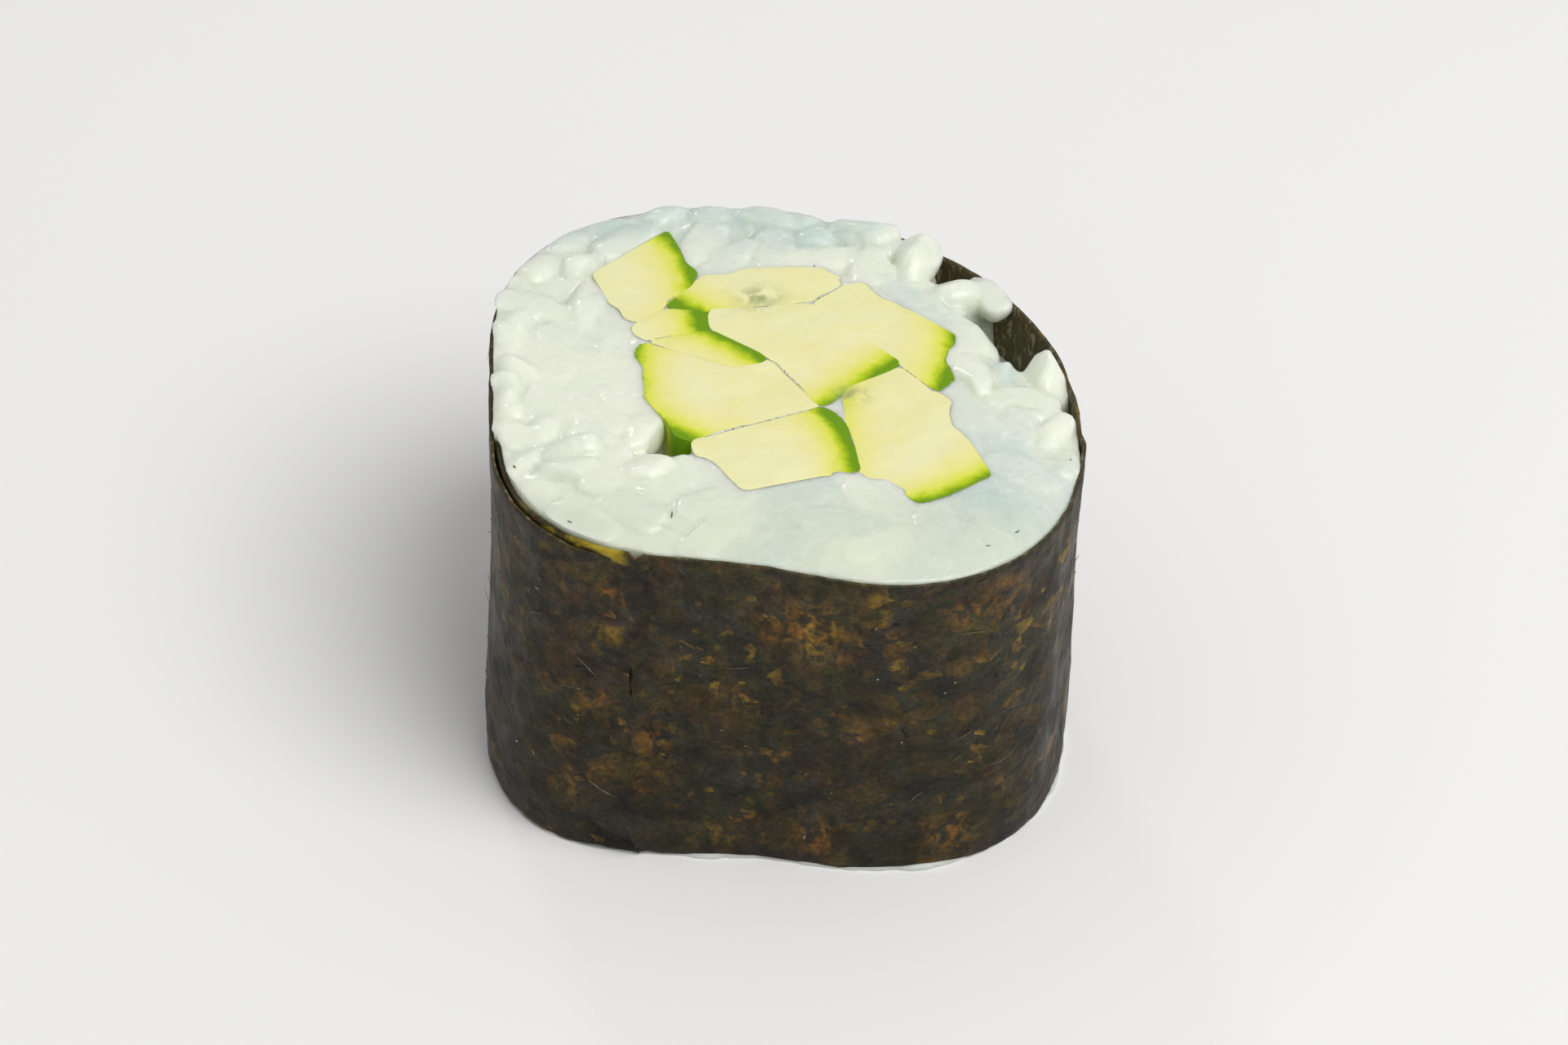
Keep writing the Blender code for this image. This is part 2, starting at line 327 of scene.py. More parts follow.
def cut_plane():
    """Height at the middle and the slopes along X and Y of the plane that best fits the
    tops of all the batons."""
    tops = []
    for name in BATON_NODES:
        points = mesh_points(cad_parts[name].data)
        tops.append(points[points[:, 2] > 0.5 * points[:, 2].max()])
    tops = np.vstack(tops)
    terms = np.stack([np.ones(len(tops)), tops[:, 0], tops[:, 1]], axis=-1)
    return np.linalg.lstsq(terms, tops[:, 2], rcond=None)[0]


def cast_radius(tree, turn, height, outwards):
    """Distance from the axis at which a level ray meets the sheet of nori."""
    away = Vector((np.cos(turn), np.sin(turn), 0.0))
    start = Vector((0.0, 0.0, height))
    if outwards:
        hit = tree.ray_cast(start, away)[0]
    else:
        hit = tree.ray_cast(start + away * FAR_OUT, -away)[0]
    return np.hypot(hit.x, hit.y)


def wall_table(tree, turns, rim, outwards):
    """Radius of the nori's wall for each direction and each share of the wall's height."""
    foot = SHEET_FOOT * 2.0
    return np.array([
        [
            cast_radius(tree, turn, foot + share * (rim(turn) - SHEET_FOOT - foot), outwards)
            for share in np.linspace(0.0, 1.0, WALL_LEVELS)
        ]
        for turn in turns
    ])


def read_table(table, turn, share):
    """A wall's radius anywhere: blended between the four nearest entries."""
    turns, radii = table
    step = turns[1] - turns[0]
    across = np.clip((turn - turns[0]) % FULL_TURN / step, 0.0, len(turns) - 1.001)
    up = np.clip(share, 0.0, 1.0) * (WALL_LEVELS - 1.001)
    i, j = across.astype(int), up.astype(int)
    a, b = across - i, up - j
    low = radii[i, j] * (1 - a) + radii[i + 1, j] * a
    high = radii[i, j + 1] * (1 - a) + radii[i + 1, j + 1] * a
    return low * (1 - b) + high * b


def measure_roll():
    """What the pieces need to know of the frame: the cut face's plane, the rim of the
    nori, the direction of its outer end, and its outer and inner walls."""
    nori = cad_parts["nori"]
    tree = BVHTree.FromObject(nori, bpy.context.evaluated_depsgraph_get())
    points = mesh_points(nori.data)
    turns = np.arctan2(points[:, 1], points[:, 0]) % FULL_TURN
    bins = np.linspace(0.0, FULL_TURN, RIM_BINS + 1)
    rims = np.zeros(RIM_BINS)
    owner = np.minimum((turns / FULL_TURN * RIM_BINS).astype(int), RIM_BINS - 1)
    np.maximum.at(rims, owner, points[:, 2])
    middles = 0.5 * (bins[1:] + bins[:-1])

    def rim(turn):
        return np.interp(turn, middles, rims, period=FULL_TURN)

    around = np.linspace(0.0, FULL_TURN, 720, endpoint=False)
    middle_height = 0.5 * rims.mean()
    outside = np.array([cast_radius(tree, turn, middle_height, False) for turn in around])
    end_turn = around[np.argmax(outside - np.roll(outside, -1))]
    margin = np.radians(0.8)
    outer_turns = np.linspace(end_turn + margin, end_turn + FULL_TURN - margin, OUTER_SPOKES)
    inner_turns = np.linspace(0.0, FULL_TURN, INNER_SPOKES)
    return SimpleNamespace(
        plane=cut_plane(),
        rim=rim,
        end_turn=end_turn,
        outer=(outer_turns, wall_table(tree, outer_turns, rim, False)),
        inner=(inner_turns, wall_table(tree, inner_turns, rim, True)),
    )


def to_other_batons(name, outlines):
    """Distance from each point of a baton's outline to the nearest other outline."""
    others = np.vstack([other for key, other in outlines.items() if key != name])
    return np.linalg.norm(outlines[name][:, None, :] - others[None], axis=2).min(axis=1)


def close_gaps(outlines):
    """The outlines, moved outwards so that neighbours touch. Each point moves by half the
    way to the nearest other baton where that is close, by less the wider the gap is, and
    the moves are evened out along the outline."""
    window = np.ones(7) / 7.0
    grown = {}
    for name, outline in outlines.items():
        away = to_other_batons(name, outlines)
        wide = smooth_step(WIDEST_CLOSED_GAP, WIDEST_NARROWED_GAP, away)
        step = (0.5 * away + NEIGHBOUR_LAP) * (1.0 - wide) + USUAL_GROWTH * wide
        step = np.convolve(np.concatenate([step[-3:], step, step[:3]]), window, "valid")
        grown[name] = outline + outline_normals(outline) * step[:, None]
    return grown


ROLL = measure_roll()
OUTLINES = close_gaps({name: baton_outline(name) for name in BATON_NODES})


def face_height(x, y):
    """Height of the cut face's plane at a place."""
    height, slope_x, slope_y = ROLL.plane
    return height + slope_x * x + slope_y * y


def inner_radius(x, y, z):
    """Radius of the nori's inner wall in the direction of a point, at its height."""
    turn = np.arctan2(y, x)
    share = (z - SHEET_FOOT) / (ROLL.rim(turn) - SHEET_FOOT)
    return read_table(ROLL.inner, turn % FULL_TURN, share)


def free_side(name):
    """For each point of a baton's outline, 1 where no other baton is near, 0 where one
    touches."""
    return smooth_step(0.15 * MM, 0.5 * MM, to_other_batons(name, OUTLINES))


def bulge_share(turn):
    """1 in the directions in which the rice bulges out over the rim, 0 in the others."""
    return smooth_step(-0.2, 0.5, np.cos(turn - BULGE_TURN))


def rim_drop(x, y):
    """How far the rice slopes down below the cut face's plane towards the nori's rim: the
    rim's own depth below the plane, times the square of the nearness to the wall."""
    turn = np.arctan2(y, x)
    middle_height = face_height(0.0, 0.0)
    wall = inner_radius(x, y, middle_height)
    face = face_height(wall * np.cos(turn), wall * np.sin(turn))
    depth = np.clip(face - ROLL.rim(turn) - RIM_COVER, 0.0, None)
    nearness = np.clip(1.0 - (wall - np.hypot(x, y)) / RIM_SLOPE, 0.0, 1.0)
    return depth * nearness**2


def baton_gap(places):
    """Distance from each place on the plane to the nearest baton, negative inside it, and
    the direction that leads away from that baton."""
    edges = np.vstack([outline[::3] for outline in OUTLINES.values()])
    out = np.vstack([outline_normals(outline)[::3] for outline in OUTLINES.values()])
    gaps = []
    aways = []
    for part in np.array_split(places, len(places) // 8000 + 1):
        between = part[:, None, :] - edges[None]
        nearest = np.argmin((between**2).sum(axis=2), axis=1)
        between = between[np.arange(len(part)), nearest]
        away = out[nearest]
        side = np.sign((between * away).sum(axis=1))
        gaps.append(np.linalg.norm(between, axis=1) * side)
        aways.append(away)
    return np.concatenate(gaps), np.vstack(aways)


# ---------------------------------------------------------------- settings


class RiceSettings(PropertyGroup):
    """Sizes and colours of the pressed rice."""

    grain_length: FloatProperty(
        name="Grain length", description="Length of a cooked grain",
        default=5.5 * MM, unit="LENGTH", precision=5,
    )
    grain_width: FloatProperty(
        name="Grain width", description="Width of a cooked grain",
        default=3.0 * MM, unit="LENGTH", precision=5,
    )
    depth: FloatProperty(
        name="Grain layer", description="How far below the cut face there are separate grains",
        default=5.0 * MM, unit="LENGTH", precision=5,
    )
    voxel: FloatProperty(
        name="Fusing step", description="Step of the grid on which pressed grains are fused",
        default=0.185 * MM, unit="LENGTH", precision=6,
    )
    seed: IntProperty(name="Seed", description="Which random packing is made", default=7)
    white: FloatVectorProperty(
        name="White", description="Colour of a chalky grain", subtype="COLOR",
        default=(0.80, 0.82, 0.69), min=0.0, max=1.0,
    )
    clear: FloatVectorProperty(
        name="Clear", description="Colour of a translucent grain", subtype="COLOR",
        default=(0.535, 0.640, 0.595), min=0.0, max=1.0,
    )


class NoriSettings(PropertyGroup):
    """Sizes and colours of the nori sheet."""

    thickness: FloatProperty(
        name="Thickness", description="Thickness of the damp sheet",
        default=0.28 * MM, unit="LENGTH", precision=6,
    )
    overlap: FloatProperty(
        name="Overlap", description="How far the sheet goes on past one full turn",
        default=float(np.radians(45.0)), subtype="ANGLE",
    )
    wrinkle: FloatProperty(
        name="Wrinkle", description="Height of the sheet's wrinkles",
        default=0.10 * MM, unit="LENGTH", precision=6,
    )
    dark: FloatVectorProperty(
        name="Dark", description="Colour of the sheet", subtype="COLOR",
        default=(0.0120, 0.0115, 0.0095), min=0.0, max=1.0,
    )
    ochre: FloatVectorProperty(
        name="Ochre", description="Colour of the thin patches", subtype="COLOR",
        default=(0.190, 0.120, 0.016), min=0.0, max=1.0,
    )
    olive: FloatVectorProperty(
        name="Olive", description="Colour of the green-brown patches", subtype="COLOR",
        default=(0.031, 0.033, 0.010), min=0.0, max=1.0,
    )


class CucumberSettings(PropertyGroup):
    """Sizes and colours of the cucumber batons."""

    edge: FloatProperty(
        name="Edge", description="Rounding of a baton's cut edges",
        default=0.05 * MM, unit="LENGTH", precision=6,
    )
    skin: FloatVectorProperty(
        name="Skin", description="Colour of the skin", subtype="COLOR",
        default=(0.150, 0.310, 0.001), min=0.0, max=1.0,
    )
    rind: FloatVectorProperty(
        name="Rind", description="Colour of the flesh just under the skin", subtype="COLOR",
        default=(0.470, 0.590, 0.010), min=0.0, max=1.0,
    )
    flesh: FloatVectorProperty(
        name="Flesh", description="Colour of the flesh", subtype="COLOR",
        default=(0.800, 0.765, 0.390), min=0.0, max=1.0,
    )


class StageSettings(PropertyGroup):
    """The camera, the floor and the light."""

    elevation: FloatProperty(
        name="Camera elevation", description="How far the camera looks down",
        default=float(np.radians(38.0)), subtype="ANGLE",
    )
    azimuth: FloatProperty(
        name="Camera azimuth", description="How far the camera stands to the right",
        default=float(np.radians(1.6)), subtype="ANGLE",
    )
    distance: FloatProperty(
        name="Camera distance", description="From the middle of the cut face to the camera",
        default=0.5308, unit="LENGTH",
    )
    lens: FloatProperty(
        name="Lens", description="Focal length", default=192.0, subtype="DISTANCE_CAMERA",
    )
    floor: FloatVectorProperty(
        name="Floor", description="Colour of the floor", subtype="COLOR",
        default=(0.86, 0.855, 0.845), min=0.0, max=1.0,
    )


# ---------------------------------------------------------------- materials


def new_material(name):
    """An empty node material with its shader, as (material, node tree, shader)."""
    material = bpy.data.materials.new(name)
    material.use_nodes = True
    tree = material.node_tree
    return material, tree, tree.nodes["Principled BSDF"]


def add_node(tree, kind, **values):
    """A node of this kind. A value whose name is a socket's sets the socket."""
    node = tree.nodes.new(kind)
    for name, value in values.items():
        label = name.replace("_", " ").title()
        if label in node.inputs:
            node.inputs[label].default_value = value
        else:
            setattr(node, name, value)
    return node


def add_ramp(tree, factor, stops):
    """A colour ramp over (place, colour) stops, fed by an output."""
    ramp = tree.nodes.new("ShaderNodeValToRGB")
    elements = ramp.color_ramp.elements
    while len(elements) < len(stops):
        elements.new(0.5)
    for element, (place, colour) in zip(elements, stops):
        element.position = place
        element.color = (*colour, 1.0)
    tree.links.new(factor, ramp.inputs["Fac"])
    return ramp.outputs["Color"]


def mix_colours(tree, factor, first, second, blend="MIX"):
    """The first colour, turning into the second as the factor goes from 0 to 1. Each is an
    output or a fixed value."""
    mix = tree.nodes.new("ShaderNodeMix")
    mix.data_type = "RGBA"
    mix.blend_type = blend
    for number, value in ((0, factor), (6, first), (7, second)):
        socket = mix.inputs[number]
        if isinstance(value, bpy.types.NodeSocket):
            tree.links.new(value, socket)
        elif isinstance(value, (int, float)):
            socket.default_value = value
        else:
            socket.default_value = (*value, 1.0)
    return mix.outputs[2]


def shaded(tree, colour, mask, dark, light):
    """The colour, times a shade that goes from dark to light as the mask rises."""
    return mix_colours(tree, 1.0, colour, mix_colours(tree, mask, dark, light), "MULTIPLY")


def start_group(name, vectors, numbers, output):
    """A new node group with vector and number inputs and one number output, as (group,
    its inputs by name, its output)."""
    group = bpy.data.node_groups.new(name, "ShaderNodeTree")
    kinds = [(socket, "NodeSocketVector") for socket in vectors]
    kinds += [(socket, "NodeSocketFloat") for socket in numbers]
    for socket, kind in kinds:
        group.interface.new_socket(socket, in_out="INPUT", socket_type=kind)
    group.interface.new_socket(output, in_out="OUTPUT", socket_type="NodeSocketFloat")
    entry = group.nodes.new("NodeGroupInput").outputs
    leave = group.nodes.new("NodeGroupOutput").inputs[output]
    return group, entry, leave


def use_group(tree, group, vector, **values):
    """A group in a material, read at the vector output, with numbers for its inputs."""
    node = tree.nodes.new("ShaderNodeGroup")
    node.node_tree = group
    tree.links.new(vector, node.inputs["Vector"])
    for name, value in values.items():
        node.inputs[name.title()].default_value = value
    return node.outputs[0]


def patch_group():
    """Node group: a mask of uneven patches. Warped noise on stretched coordinates, spread
    so that it is 0 below one level and 1 above another."""
    known = bpy.data.node_groups.get("uneven patches")
    if known:
        return known
    group, entry, leave = start_group(
        "uneven patches", ("Vector", "Stretch"), ("Scale", "Warp", "Low", "High"), "Mask"
    )
    stretch = add_node(group, "ShaderNodeVectorMath", operation="MULTIPLY")
    noise = add_node(group, "ShaderNodeTexNoise", detail=5.0, roughness=0.58)
    spread = add_node(group, "ShaderNodeMapRange", interpolation_type="SMOOTHSTEP")
    link = group.links.new
    link(entry["Vector"], stretch.inputs[0])
    link(entry["Stretch"], stretch.inputs[1])
    link(stretch.outputs[0], noise.inputs["Vector"])
    link(entry["Scale"], noise.inputs["Scale"])
    link(entry["Warp"], noise.inputs["Distortion"])
    link(noise.outputs["Fac"], spread.inputs["Value"])
    link(entry["Low"], spread.inputs["From Min"])
    link(entry["High"], spread.inputs["From Max"])
    link(spread.outputs["Result"], leave)
    return group


def add_patches(tree, vector, scale, warp, low, high, stretch=(1, 1, 1)):
    """A mask of uneven patches in a material, read at the vector output."""
    return use_group(
        tree, patch_group(), vector, stretch=stretch, scale=scale, warp=warp, low=low, high=high
    )


def scaled(tree, value, factor, offset=0.0):
    """value times factor, plus an offset that is a number or an output."""
    node = add_node(tree, "ShaderNodeMath", operation="MULTIPLY_ADD")
    tree.links.new(value, node.inputs[0])
    node.inputs[1].default_value = factor
    if isinstance(offset, bpy.types.NodeSocket):
        tree.links.new(offset, node.inputs[2])
    else:
        node.inputs[2].default_value = offset
    return node.outputs[0]


def risen(tree, value, low, high):
    """0 where an output is below low, 1 above high, and an S-shaped rise between them."""
    node = add_node(tree, "ShaderNodeMapRange", interpolation_type="SMOOTHSTEP")
    tree.links.new(value, node.inputs["Value"])
    node.inputs["From Min"].default_value = low
    node.inputs["From Max"].default_value = high
    return node.outputs["Result"]


def product(tree, first, second):
    """One output times another."""
    node = add_node(tree, "ShaderNodeMath", operation="MULTIPLY")
    tree.links.new(first, node.inputs[0])
    tree.links.new(second, node.inputs[1])
    return node.outputs[0]


def add_bump(tree, shader, height, distance):
    """Feeds a height into the shader's normal, as relief of this depth in metres."""
    bump = add_node(tree, "ShaderNodeBump", strength=1.0, distance=distance)
    tree.links.new(height, bump.inputs["Height"])
    tree.links.new(bump.outputs["Normal"], shader.inputs["Normal"])


def set_shader(shader, **values):
    """Sets plain numbers and colours on the shader's own sockets."""
    for name, value in values.items():
        label = name.replace("_", " ").title().replace("Ior", "IOR")
        shader.inputs[label].default_value = value


def attribute_output(tree, name):
    """The numbers that a piece keeps for its points under this name."""
    return add_node(tree, "ShaderNodeAttribute", attribute_name=name).outputs["Fac"]


def object_vector(tree):
    """Places on a piece in its own coordinates."""
    return add_node(tree, "ShaderNodeTexCoord").outputs["Object"]


def rice_material(settings):
    """Moist rice: chalky and translucent grains by tone, painted shade in the seams between
    grains and over the front, painted shade low down below the cut face, light scattered under
    the surface, and a fine starchy relief."""
    material, tree, shader = new_material("rice")
    place = object_vector(tree)
    tone = attribute_output(tree, "tone")
    deep = attribute_output(tree, "deep")
    seam = attribute_output(tree, "seam")
    white = tuple(settings.white)
    starch, painted_seam_shade, painted_shade_low_down = (0.92, 0.93, 0.88), (0.56, 0.62, 0.47), (0.42, 0.46, 0.34)
    # The tone also holds a painted bluish shade at the back rim.
    colour = mix_colours(tree, tone, white, tuple(settings.clear))
    cloud = add_patches(tree, place, 260.0, 0.6, 0.35, 0.65)
    colour = mix_colours(tree, scaled(tree, cloud, 0.35), colour, white)
    smear = add_patches(tree, place, 900.0, 1.2, 0.50, 0.72, (1, 1, 0.3))
    colour = mix_colours(tree, scaled(tree, smear, 0.30), colour, starch)
    # Painted shade: a darker, greener colour in the seams between grains and over the front.
    colour = mix_colours(tree, scaled(tree, seam, 0.35), colour, painted_seam_shade)
    # Painted shade: a darker colour where the rice lies deep below the cut face.
    colour = mix_colours(tree, scaled(tree, deep, 0.60), colour, painted_shade_low_down)
    tree.links.new(colour, shader.inputs["Base Color"])
    wet = add_patches(tree, place, 700.0, 0.3, 0.35, 0.65)
    tree.links.new(scaled(tree, wet, 0.25, 0.25), shader.inputs["Roughness"])
    fine = add_patches(tree, place, 850.0, 0.8, 0.25, 0.75)
    add_bump(tree, shader, fine, 0.045 * MM)
    set_shader(
        shader,
        subsurface_weight=1.0,
        subsurface_radius=(1.0, 1.0, 1.0),
        subsurface_scale=1.1 * MM,
        ior=1.36,
        coat_weight=0.35,
        coat_roughness=0.10,
    )
    return material


def cucumber_material(settings):
    """Cucumber: dark green skin, lime rind and pale wet flesh by the depth under the skin, with
    painted light that lightens the walls below the cut face, soft pale and yellow patches and a
    grey-green smudge here and there."""
    material, tree, shader = new_material("cucumber")
    place = object_vector(tree)
    # The depth also carries painted light on the walls below the cut face.
    depth = attribute_output(tree, "rind_depth")
    ragged = add_patches(tree, place, 750.0, 0.8, 0.30, 0.70, (1, 1, 0.25))
    skin, rind, flesh = tuple(settings.skin), tuple(settings.rind), tuple(settings.flesh)
    lime, lemon, grey_green = (0.70, 0.73, 0.09), (0.79, 0.755, 0.24), (0.36, 0.40, 0.16)
    pale_flesh, yellow_flesh = (0.85, 0.82, 0.53), (0.76, 0.71, 0.21)
    colour = add_ramp(
        tree,
        scaled(tree, ragged, -0.07, depth),
        [
            (0.02, skin),
            (0.07, tuple(0.6 * a + 0.4 * b for a, b in zip(skin, rind))),
            (0.12, rind),
            (0.20, lime),
            (0.36, lemon),
            (0.75, flesh),
        ],
    )
    pale = add_patches(tree, place, 190.0, 0.6, 0.32, 0.68, (1, 1, 0.3))
    body = risen(tree, depth, 0.25, 0.70)
    pale = product(tree, pale, body)
    colour = mix_colours(tree, scaled(tree, pale, 0.55), colour, pale_flesh)
    warm = add_patches(tree, place, 240.0, 1.0, 0.50, 0.75, (1, 1, 0.3))
    warm = product(tree, warm, body)
    colour = mix_colours(tree, scaled(tree, warm, 0.35), colour, yellow_flesh)
    smudge = attribute_output(tree, "smudge")
    cloudy = add_patches(tree, place, 900.0, 0.8, 0.30, 0.60, (1, 1, 0.3))
    colour = mix_colours(tree, product(tree, smudge, cloudy), colour, grey_green)
    tree.links.new(colour, shader.inputs["Base Color"])
    wet = add_patches(tree, place, 420.0, 0.3, 0.35, 0.65, (1, 1, 0.3))
    tree.links.new(scaled(tree, wet, 0.18, 0.24), shader.inputs["Roughness"])
    veins = add_patches(tree, place, 420.0, 0.9, 0.20, 0.80, (1, 1, 0.12))
    add_bump(tree, shader, veins, 0.035 * MM)
    set_shader(
        shader,
        subsurface_weight=0.4,
        subsurface_radius=(1.0, 1.0, 1.0),
        subsurface_scale=0.12 * MM,
        ior=1.36,
        specular_ior_level=0.30,
    )
    return material


def flake_group():
    """Node group: the sheet as a felt of overlapping flakes. A cell pattern, its edges
    frayed by noise; gives each cell's random number."""
    known = bpy.data.node_groups.get("felted flakes")
    if known:
        return known
    group, entry, leave = start_group(
        "felted flakes", ("Vector", "Stretch"), ("Scale", "Fray"), "Number"
    )
    link = group.links.new
    stretch = add_node(group, "ShaderNodeVectorMath", operation="MULTIPLY")
    noise = add_node(group, "ShaderNodeTexNoise", detail=4.0, roughness=0.6)
    centred = add_node(group, "ShaderNodeVectorMath", operation="SUBTRACT")
    frayed = add_node(group, "ShaderNodeVectorMath", operation="SCALE")
    moved = add_node(group, "ShaderNodeVectorMath", operation="ADD")
    cells = add_node(group, "ShaderNodeTexVoronoi", feature="F1")
    split = add_node(group, "ShaderNodeSeparateColor")
    link(entry["Vector"], stretch.inputs[0])
    link(entry["Stretch"], stretch.inputs[1])
    link(stretch.outputs[0], noise.inputs["Vector"])
    link(entry["Scale"], noise.inputs["Scale"])
    link(noise.outputs["Color"], centred.inputs[0])
    centred.inputs[1].default_value = (0.5, 0.5, 0.5)
    link(centred.outputs[0], frayed.inputs[0])
    link(entry["Fray"], frayed.inputs["Scale"])
    link(stretch.outputs[0], moved.inputs[0])
    link(frayed.outputs[0], moved.inputs[1])
    link(moved.outputs[0], cells.inputs["Vector"])
    link(entry["Scale"], cells.inputs["Scale"])
    link(cells.outputs["Color"], split.inputs[0])
    link(split.outputs["Red"], leave)
    return group


def add_flakes(tree, vector, scale, fray):
    """A felt of flakes in a material, a little longer than they are high: each flake's
    random number."""
    return use_group(tree, flake_group(), vector, stretch=(0.85, 1, 1), scale=scale, fray=fray)


# Layers of flakes, as (flakes per mm, fray, strength, least number of a bright flake).
FLAKE_LAYERS = ((0.42, 0.7, 0.75, 0.80), (0.95, 0.6, 0.60, 0.84), (2.0, 0.5, 0.35, 0.90))


def nori_material(settings):
    """Damp nori: dark, olive and red-brown fields, over them a felt of flakes, some of them amber
    where the sheet is thin, painted shade that darkens it towards the foot, dark cracks, an inner
    lining lifted by painted light, and an uneven sheen. Scales are in features per millimetre of
    the sheet."""
    material, tree, shader = new_material("nori")
    sheet = add_node(tree, "ShaderNodeUVMap", uv_map="sheet").outputs["UV"]
    dark, ochre, olive = tuple(settings.dark), tuple(settings.ochre), tuple(settings.olive)
    brown, rust, grey = (0.040, 0.026, 0.009), (0.060, 0.030, 0.010), (0.032, 0.033, 0.030)
    chestnut, black = (0.150, 0.070, 0.014), (0.002, 0.002, 0.001)
    orange_amber, yellow_amber = (0.230, 0.092, 0.013), (0.200, 0.115, 0.015)
    # The lining's colours: the inner side's own olive-brown with pale ridges, lifted by painted
    # light out of the shade inside the roll.
    lining_dark, lining_pale = (0.085, 0.068, 0.026), (0.34, 0.30, 0.18)
    flap_dark, flap_gold = (0.030, 0.021, 0.004), (0.40, 0.29, 0.022)
    flake_colours = [
        (0.0, dark), (0.22, brown), (0.40, olive), (0.55, dark), (0.72, grey), (0.90, rust)
    ]
    green = add_patches(tree, sheet, 0.17, 0.3, 0.38, 0.56)
    colour = mix_colours(tree, green, dark, olive)
    red = add_patches(tree, sheet, 0.23, 0.3, 0.50, 0.68)
    colour = mix_colours(tree, scaled(tree, red, 0.80), colour, brown)
    zone = add_patches(tree, sheet, 0.15, 0.4, 0.42, 0.62)
    for scale, fray, share, least in FLAKE_LAYERS:
        number = add_flakes(tree, sheet, scale, fray)
        flake = add_ramp(tree, number, flake_colours)
        soft = add_patches(tree, sheet, scale * 1.3, 0.3, 0.30, 0.62)
        colour = mix_colours(tree, scaled(tree, soft, share), colour, flake)
        bright = product(tree, product(tree, risen(tree, number, least, 1.0), soft), zone)
        gilt = mix_colours(tree, red, ochre, chestnut)
        colour = mix_colours(tree, bright, colour, gilt)
    ragged = add_patches(tree, sheet, 1.1, 0.6, 0.42, 0.62, (1, 0.8, 1))
    amber = product(tree, attribute_output(tree, "amber"), ragged)
    warm = mix_colours(tree, green, orange_amber, yellow_amber)
    colour = mix_colours(tree, amber, colour, warm)
    mottled = add_patches(tree, sheet, 0.65, 0.2, 0.25, 0.75)
    colour = shaded(tree, colour, mottled, (0.50, 0.50, 0.52), (1.50, 1.48, 1.40))
    grainy = add_patches(tree, sheet, 3.2, 0.2, 0.30, 0.70)
    colour = shaded(tree, colour, grainy, (0.70, 0.70, 0.70), (1.30, 1.30, 1.27))
    # Painted shade: the sheet is darker towards the foot and lighter towards the rim.
    parts = add_node(tree, "ShaderNodeSeparateXYZ")
    tree.links.new(sheet, parts.inputs["Vector"])
    height = scaled(tree, parts.outputs["Y"], MM / SHEET_HEIGHT)
    colour = shaded(tree, colour, height, (0.70, 0.68, 0.68), (1.20, 1.19, 1.18))
    crack = add_patches(tree, sheet, 0.8, 1.2, 0.65, 0.70, (0.8, 1.6, 1))
    colour = mix_colours(tree, scaled(tree, crack, 0.85), colour, black)
    # Painted light: the inside of the sheet gets the lifted lining colours.
    inside = attribute_output(tree, "inside")
    crumpled = add_patches(tree, sheet, 0.9, 1.8, 0.50, 0.68, (1, 0.6, 1))
    lining_with_painted_light = mix_colours(tree, crumpled, lining_dark, lining_pale)
    colour = mix_colours(tree, scaled(tree, inside, 0.85), colour, lining_with_painted_light)
    flap = attribute_output(tree, "flap")
    golden = add_patches(tree, sheet, 0.6, 1.2, 0.40, 0.68, (0.6, 1, 1))
    gold = mix_colours(tree, golden, flap_dark, flap_gold)
    colour = mix_colours(tree, flap, colour, gold)
    tree.links.new(colour, shader.inputs["Base Color"])
    sheen = add_patches(tree, sheet, 0.3, 0.4, 0.35, 0.68)
    tree.links.new(scaled(tree, sheen, -0.22, 0.58), shader.inputs["Roughness"])
    fine = add_patches(tree, sheet, 0.9, 0.2, 0.20, 0.80)
    add_bump(tree, shader, fine, 0.09 * MM)
    set_shader(shader, ior=1.45, specular_ior_level=0.21)
    return material


def thread_material():
    """Dry threads and flakes on the nori: most of them dull olive, some pale."""
    material, tree, shader = new_material("nori thread")
    place = object_vector(tree)
    pale = add_patches(tree, place, 330.0, 0.2, 0.52, 0.58)
    patches = add_patches(tree, place, 900.0, 0.5, 0.35, 0.65)
    dull = mix_colours(tree, patches, (0.075, 0.068, 0.028), (0.120, 0.090, 0.035))
    bright = mix_colours(tree, patches, (0.20, 0.17, 0.13), (0.42, 0.38, 0.34))
    tree.links.new(mix_colours(tree, pale, dull, bright), shader.inputs["Base Color"])
    set_shader(shader, roughness=0.6)
    return material


def speck_material():
    """Specks of nori: dark brown to ochre."""
    material, tree, shader = new_material("nori speck")
    patches = add_patches(tree, object_vector(tree), 800.0, 0.5, 0.35, 0.65)
    colour = mix_colours(tree, patches, (0.020, 0.018, 0.010), (0.10, 0.075, 0.020))
    tree.links.new(colour, shader.inputs["Base Color"])
    set_shader(shader, roughness=0.6)
    return material


def floor_material(settings):
    """A plain pale floor with a very faint cloudiness."""
    material, tree, shader = new_material("floor")
    cloud = add_patches(tree, object_vector(tree), 6.0, 0.0, 0.30, 0.70)
    colour = tuple(settings.floor)
    colour = mix_colours(tree, cloud, colour, tuple(0.985 * c for c in colour))
    tree.links.new(colour, shader.inputs["Base Color"])
    set_shader(shader, roughness=0.7)
    return material


# ---------------------------------------------------------------- rice


